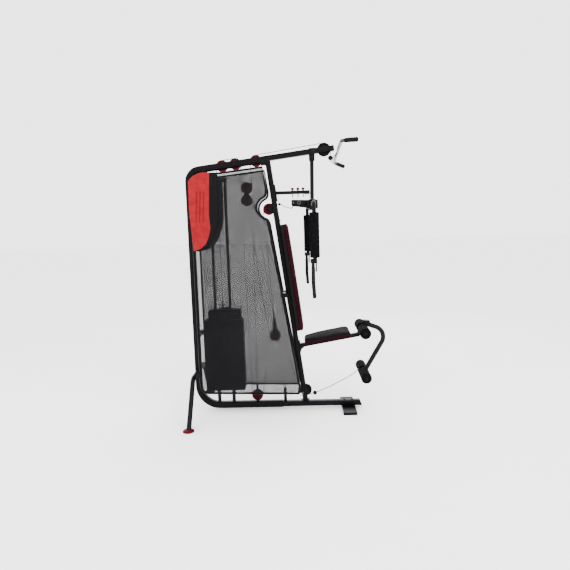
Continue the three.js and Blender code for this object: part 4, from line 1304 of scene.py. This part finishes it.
def guide_cord():
    down = [
        (-262, 1600), (-243, 1379), (-223, 1197), (-194, 951), (-170, 795), (-140, 623), (-120, 510),
        (-92, 394), (-62, 250), (-36, 170),
    ]
    x, z = CORD_HOLE
    corners = flat_path(down, -24) + [(x, -24, z), (x, 24, z), (-30, 24, 200), (-235, 24, 1660)]
    bends = [60] * (len(down) - 1) + [8, 8, 20]
    shape = cable_shape(bent_path(corners, bends, 12), side=(1, 0, 0))
    piece("guide_cord_run", shape, "frame", "cable_sheath", ["guide_cord"])


def vertical_cable(name, x, low, high, node):
    """A cable between the frame, at its top, and a body that slides up and down under it."""
    steps = 24
    stations = [(Vector((x, 0, high + (low - high) * k / steps)), Vector((0, 0, -1))) for k in range(steps + 1)]
    made = finish_piece(name, cable_shape(stations), "cable_sheath", [node])
    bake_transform(made)


def moving_cables():
    for name, node, body in (("stack_cable_run", "stack_cable", "lifted_stack"),
                             ("lat_drop_run", "lat_drop_cable", "lat_bar")):
        low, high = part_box(node)
        vertical_cable(name, centre(node).x, low.z / MM, high.z / MM, node)


def chain_link(shape, place, length, width, wire, axis):
    """One stadium-shaped link standing upright, in the plane across axis."""
    half = length / 2 - width / 2
    across = Vector((0, 0, 1)).cross(Vector(axis))
    stations = []
    for base, centre_z in ((0, half), (math.pi, -half)):
        for k in range(9):
            angle = base + math.pi * k / 8
            outward = math.cos(angle) * across + math.sin(angle) * Vector((0, 0, 1))
            way = -math.sin(angle) * across + math.cos(angle) * Vector((0, 0, 1))
            stations.append((Vector(place) + Vector((0, 0, centre_z)) + width / 2 * outward, way))
    sweep(shape, circle(wire, 8), stations, axis, closed=True)


def chain():
    shape = bmesh.new()
    for number, z in enumerate(range(204, 436, 17)):
        axis = (0, 1, 0) if number % 2 else (1, 0, 0)
        chain_link(shape, (-251.5, 0, z), 24, 9, 1.9, axis)
    piece("base_chain", shape, "frame", "zinc")
    crimp = [(0, -14), (5, -14), (5.5, -12), (5.5, 12), (4, 15), (0, 15)]
    piece("cable_crimp", assemble((lathe, crimp, (-251, 0, 446), (0, 0, 1), 24)), "frame", "zinc")


def slack_run(name, points):
    """A slack cable from the frame to a moving body, finely stepped so that it bends smoothly."""
    stations = bent_path(flat_path(points), 60, 4)
    fine = [stations[0]]
    for (a, way_a), (b, way_b) in zip(stations, stations[1:]):
        steps = max(1, int((b - a).length / 10))
        for k in range(1, steps + 1):
            fine.append((a.lerp(b, k / steps), way_a.lerp(way_b, k / steps).normalized()))
    made = finish_piece(name, cable_shape(fine, LINK_RADIUS), "clear_cable")
    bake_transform(made)


def slack_cables():
    leg = [(214, 126), (330, 174.5), (440, 232), (502, 268.5), (541, 300)]
    press = [(-24, 1596), (0, 1580), (46, 1562), (78, 1570), (86, 1592)]
    slack_run("leg_link", leg)
    slack_run("press_link", press)
    stops = assemble((ball, (200, 0, 121.5), 17), (ball, (-33, 0, 1596), 11))
    piece("cable_stops", stops, "frame", "black_plastic")
    eye = assemble((ring, (545, 0, 303), 7, 2.0, (0, 1, 0.3)))
    piece("leg_eye_ring", eye, "leg_developer", "chrome")


# ---- stage and light

def stage():
    mesh = bpy.data.meshes.new("floor")
    half = 40
    corners = [(-half, -half, 0), (half, -half, 0), (half, half, 0), (-half, half, 0)]
    mesh.from_pydata(corners, [], [(0, 1, 2, 3)])
    floor = bpy.data.objects.new("floor", mesh)
    bpy.context.scene.collection.objects.link(floor)
    look = Look("floor", (0.93, 0.93, 0.93), 0.8, specular=0.0).vary(0.01, 2.0, 0.03, 5.0)
    mesh.materials.append(look.material)

    world = bpy.data.worlds.new("studio")
    world.use_nodes = True
    background = world.node_tree.nodes["Background"]
    background.inputs["Color"].default_value = (1, 1, 1, 1)
    background.inputs["Strength"].default_value = 3.4
    bpy.context.scene.world = world

    lamps = (
        ("key", (2.2, -3.2, 3.6), 170, 2.0),
        ("fill", (-3.0, -2.4, 2.2), 70, 2.5),
        ("rim", (0.5, 3.0, 3.4), 70, 3.0),
    )
    for name, place, power, size in lamps:
        data = bpy.data.lights.new(name, "AREA")
        data.energy = power
        data.size = size
        lamp = bpy.data.objects.new(name, data)
        lamp.location = place
        lamp.rotation_euler = (Vector((-0.1, 0, 1.0)) - Vector(place)).to_track_quat("-Z", "Y").to_euler()
        bpy.context.scene.collection.objects.link(lamp)


# ---- the gym

rear_frame()
base_tube()
boom_tube()
upright()
rear_stabiliser()
rear_feet()
guards()
pulleys()
stack()
seat()
backrest()
seat_frame()
leg_developer()
rollers()
press_arm()
butterfly_arms()
pull_pins()
lat_bar()
fixed_cables()
moving_cables()
chain()
slack_cables()
for cad_node in ("front_foot", "press_brace", "double_block", "floating_block"):
    dress(cad_node, "black_paint")
stage()
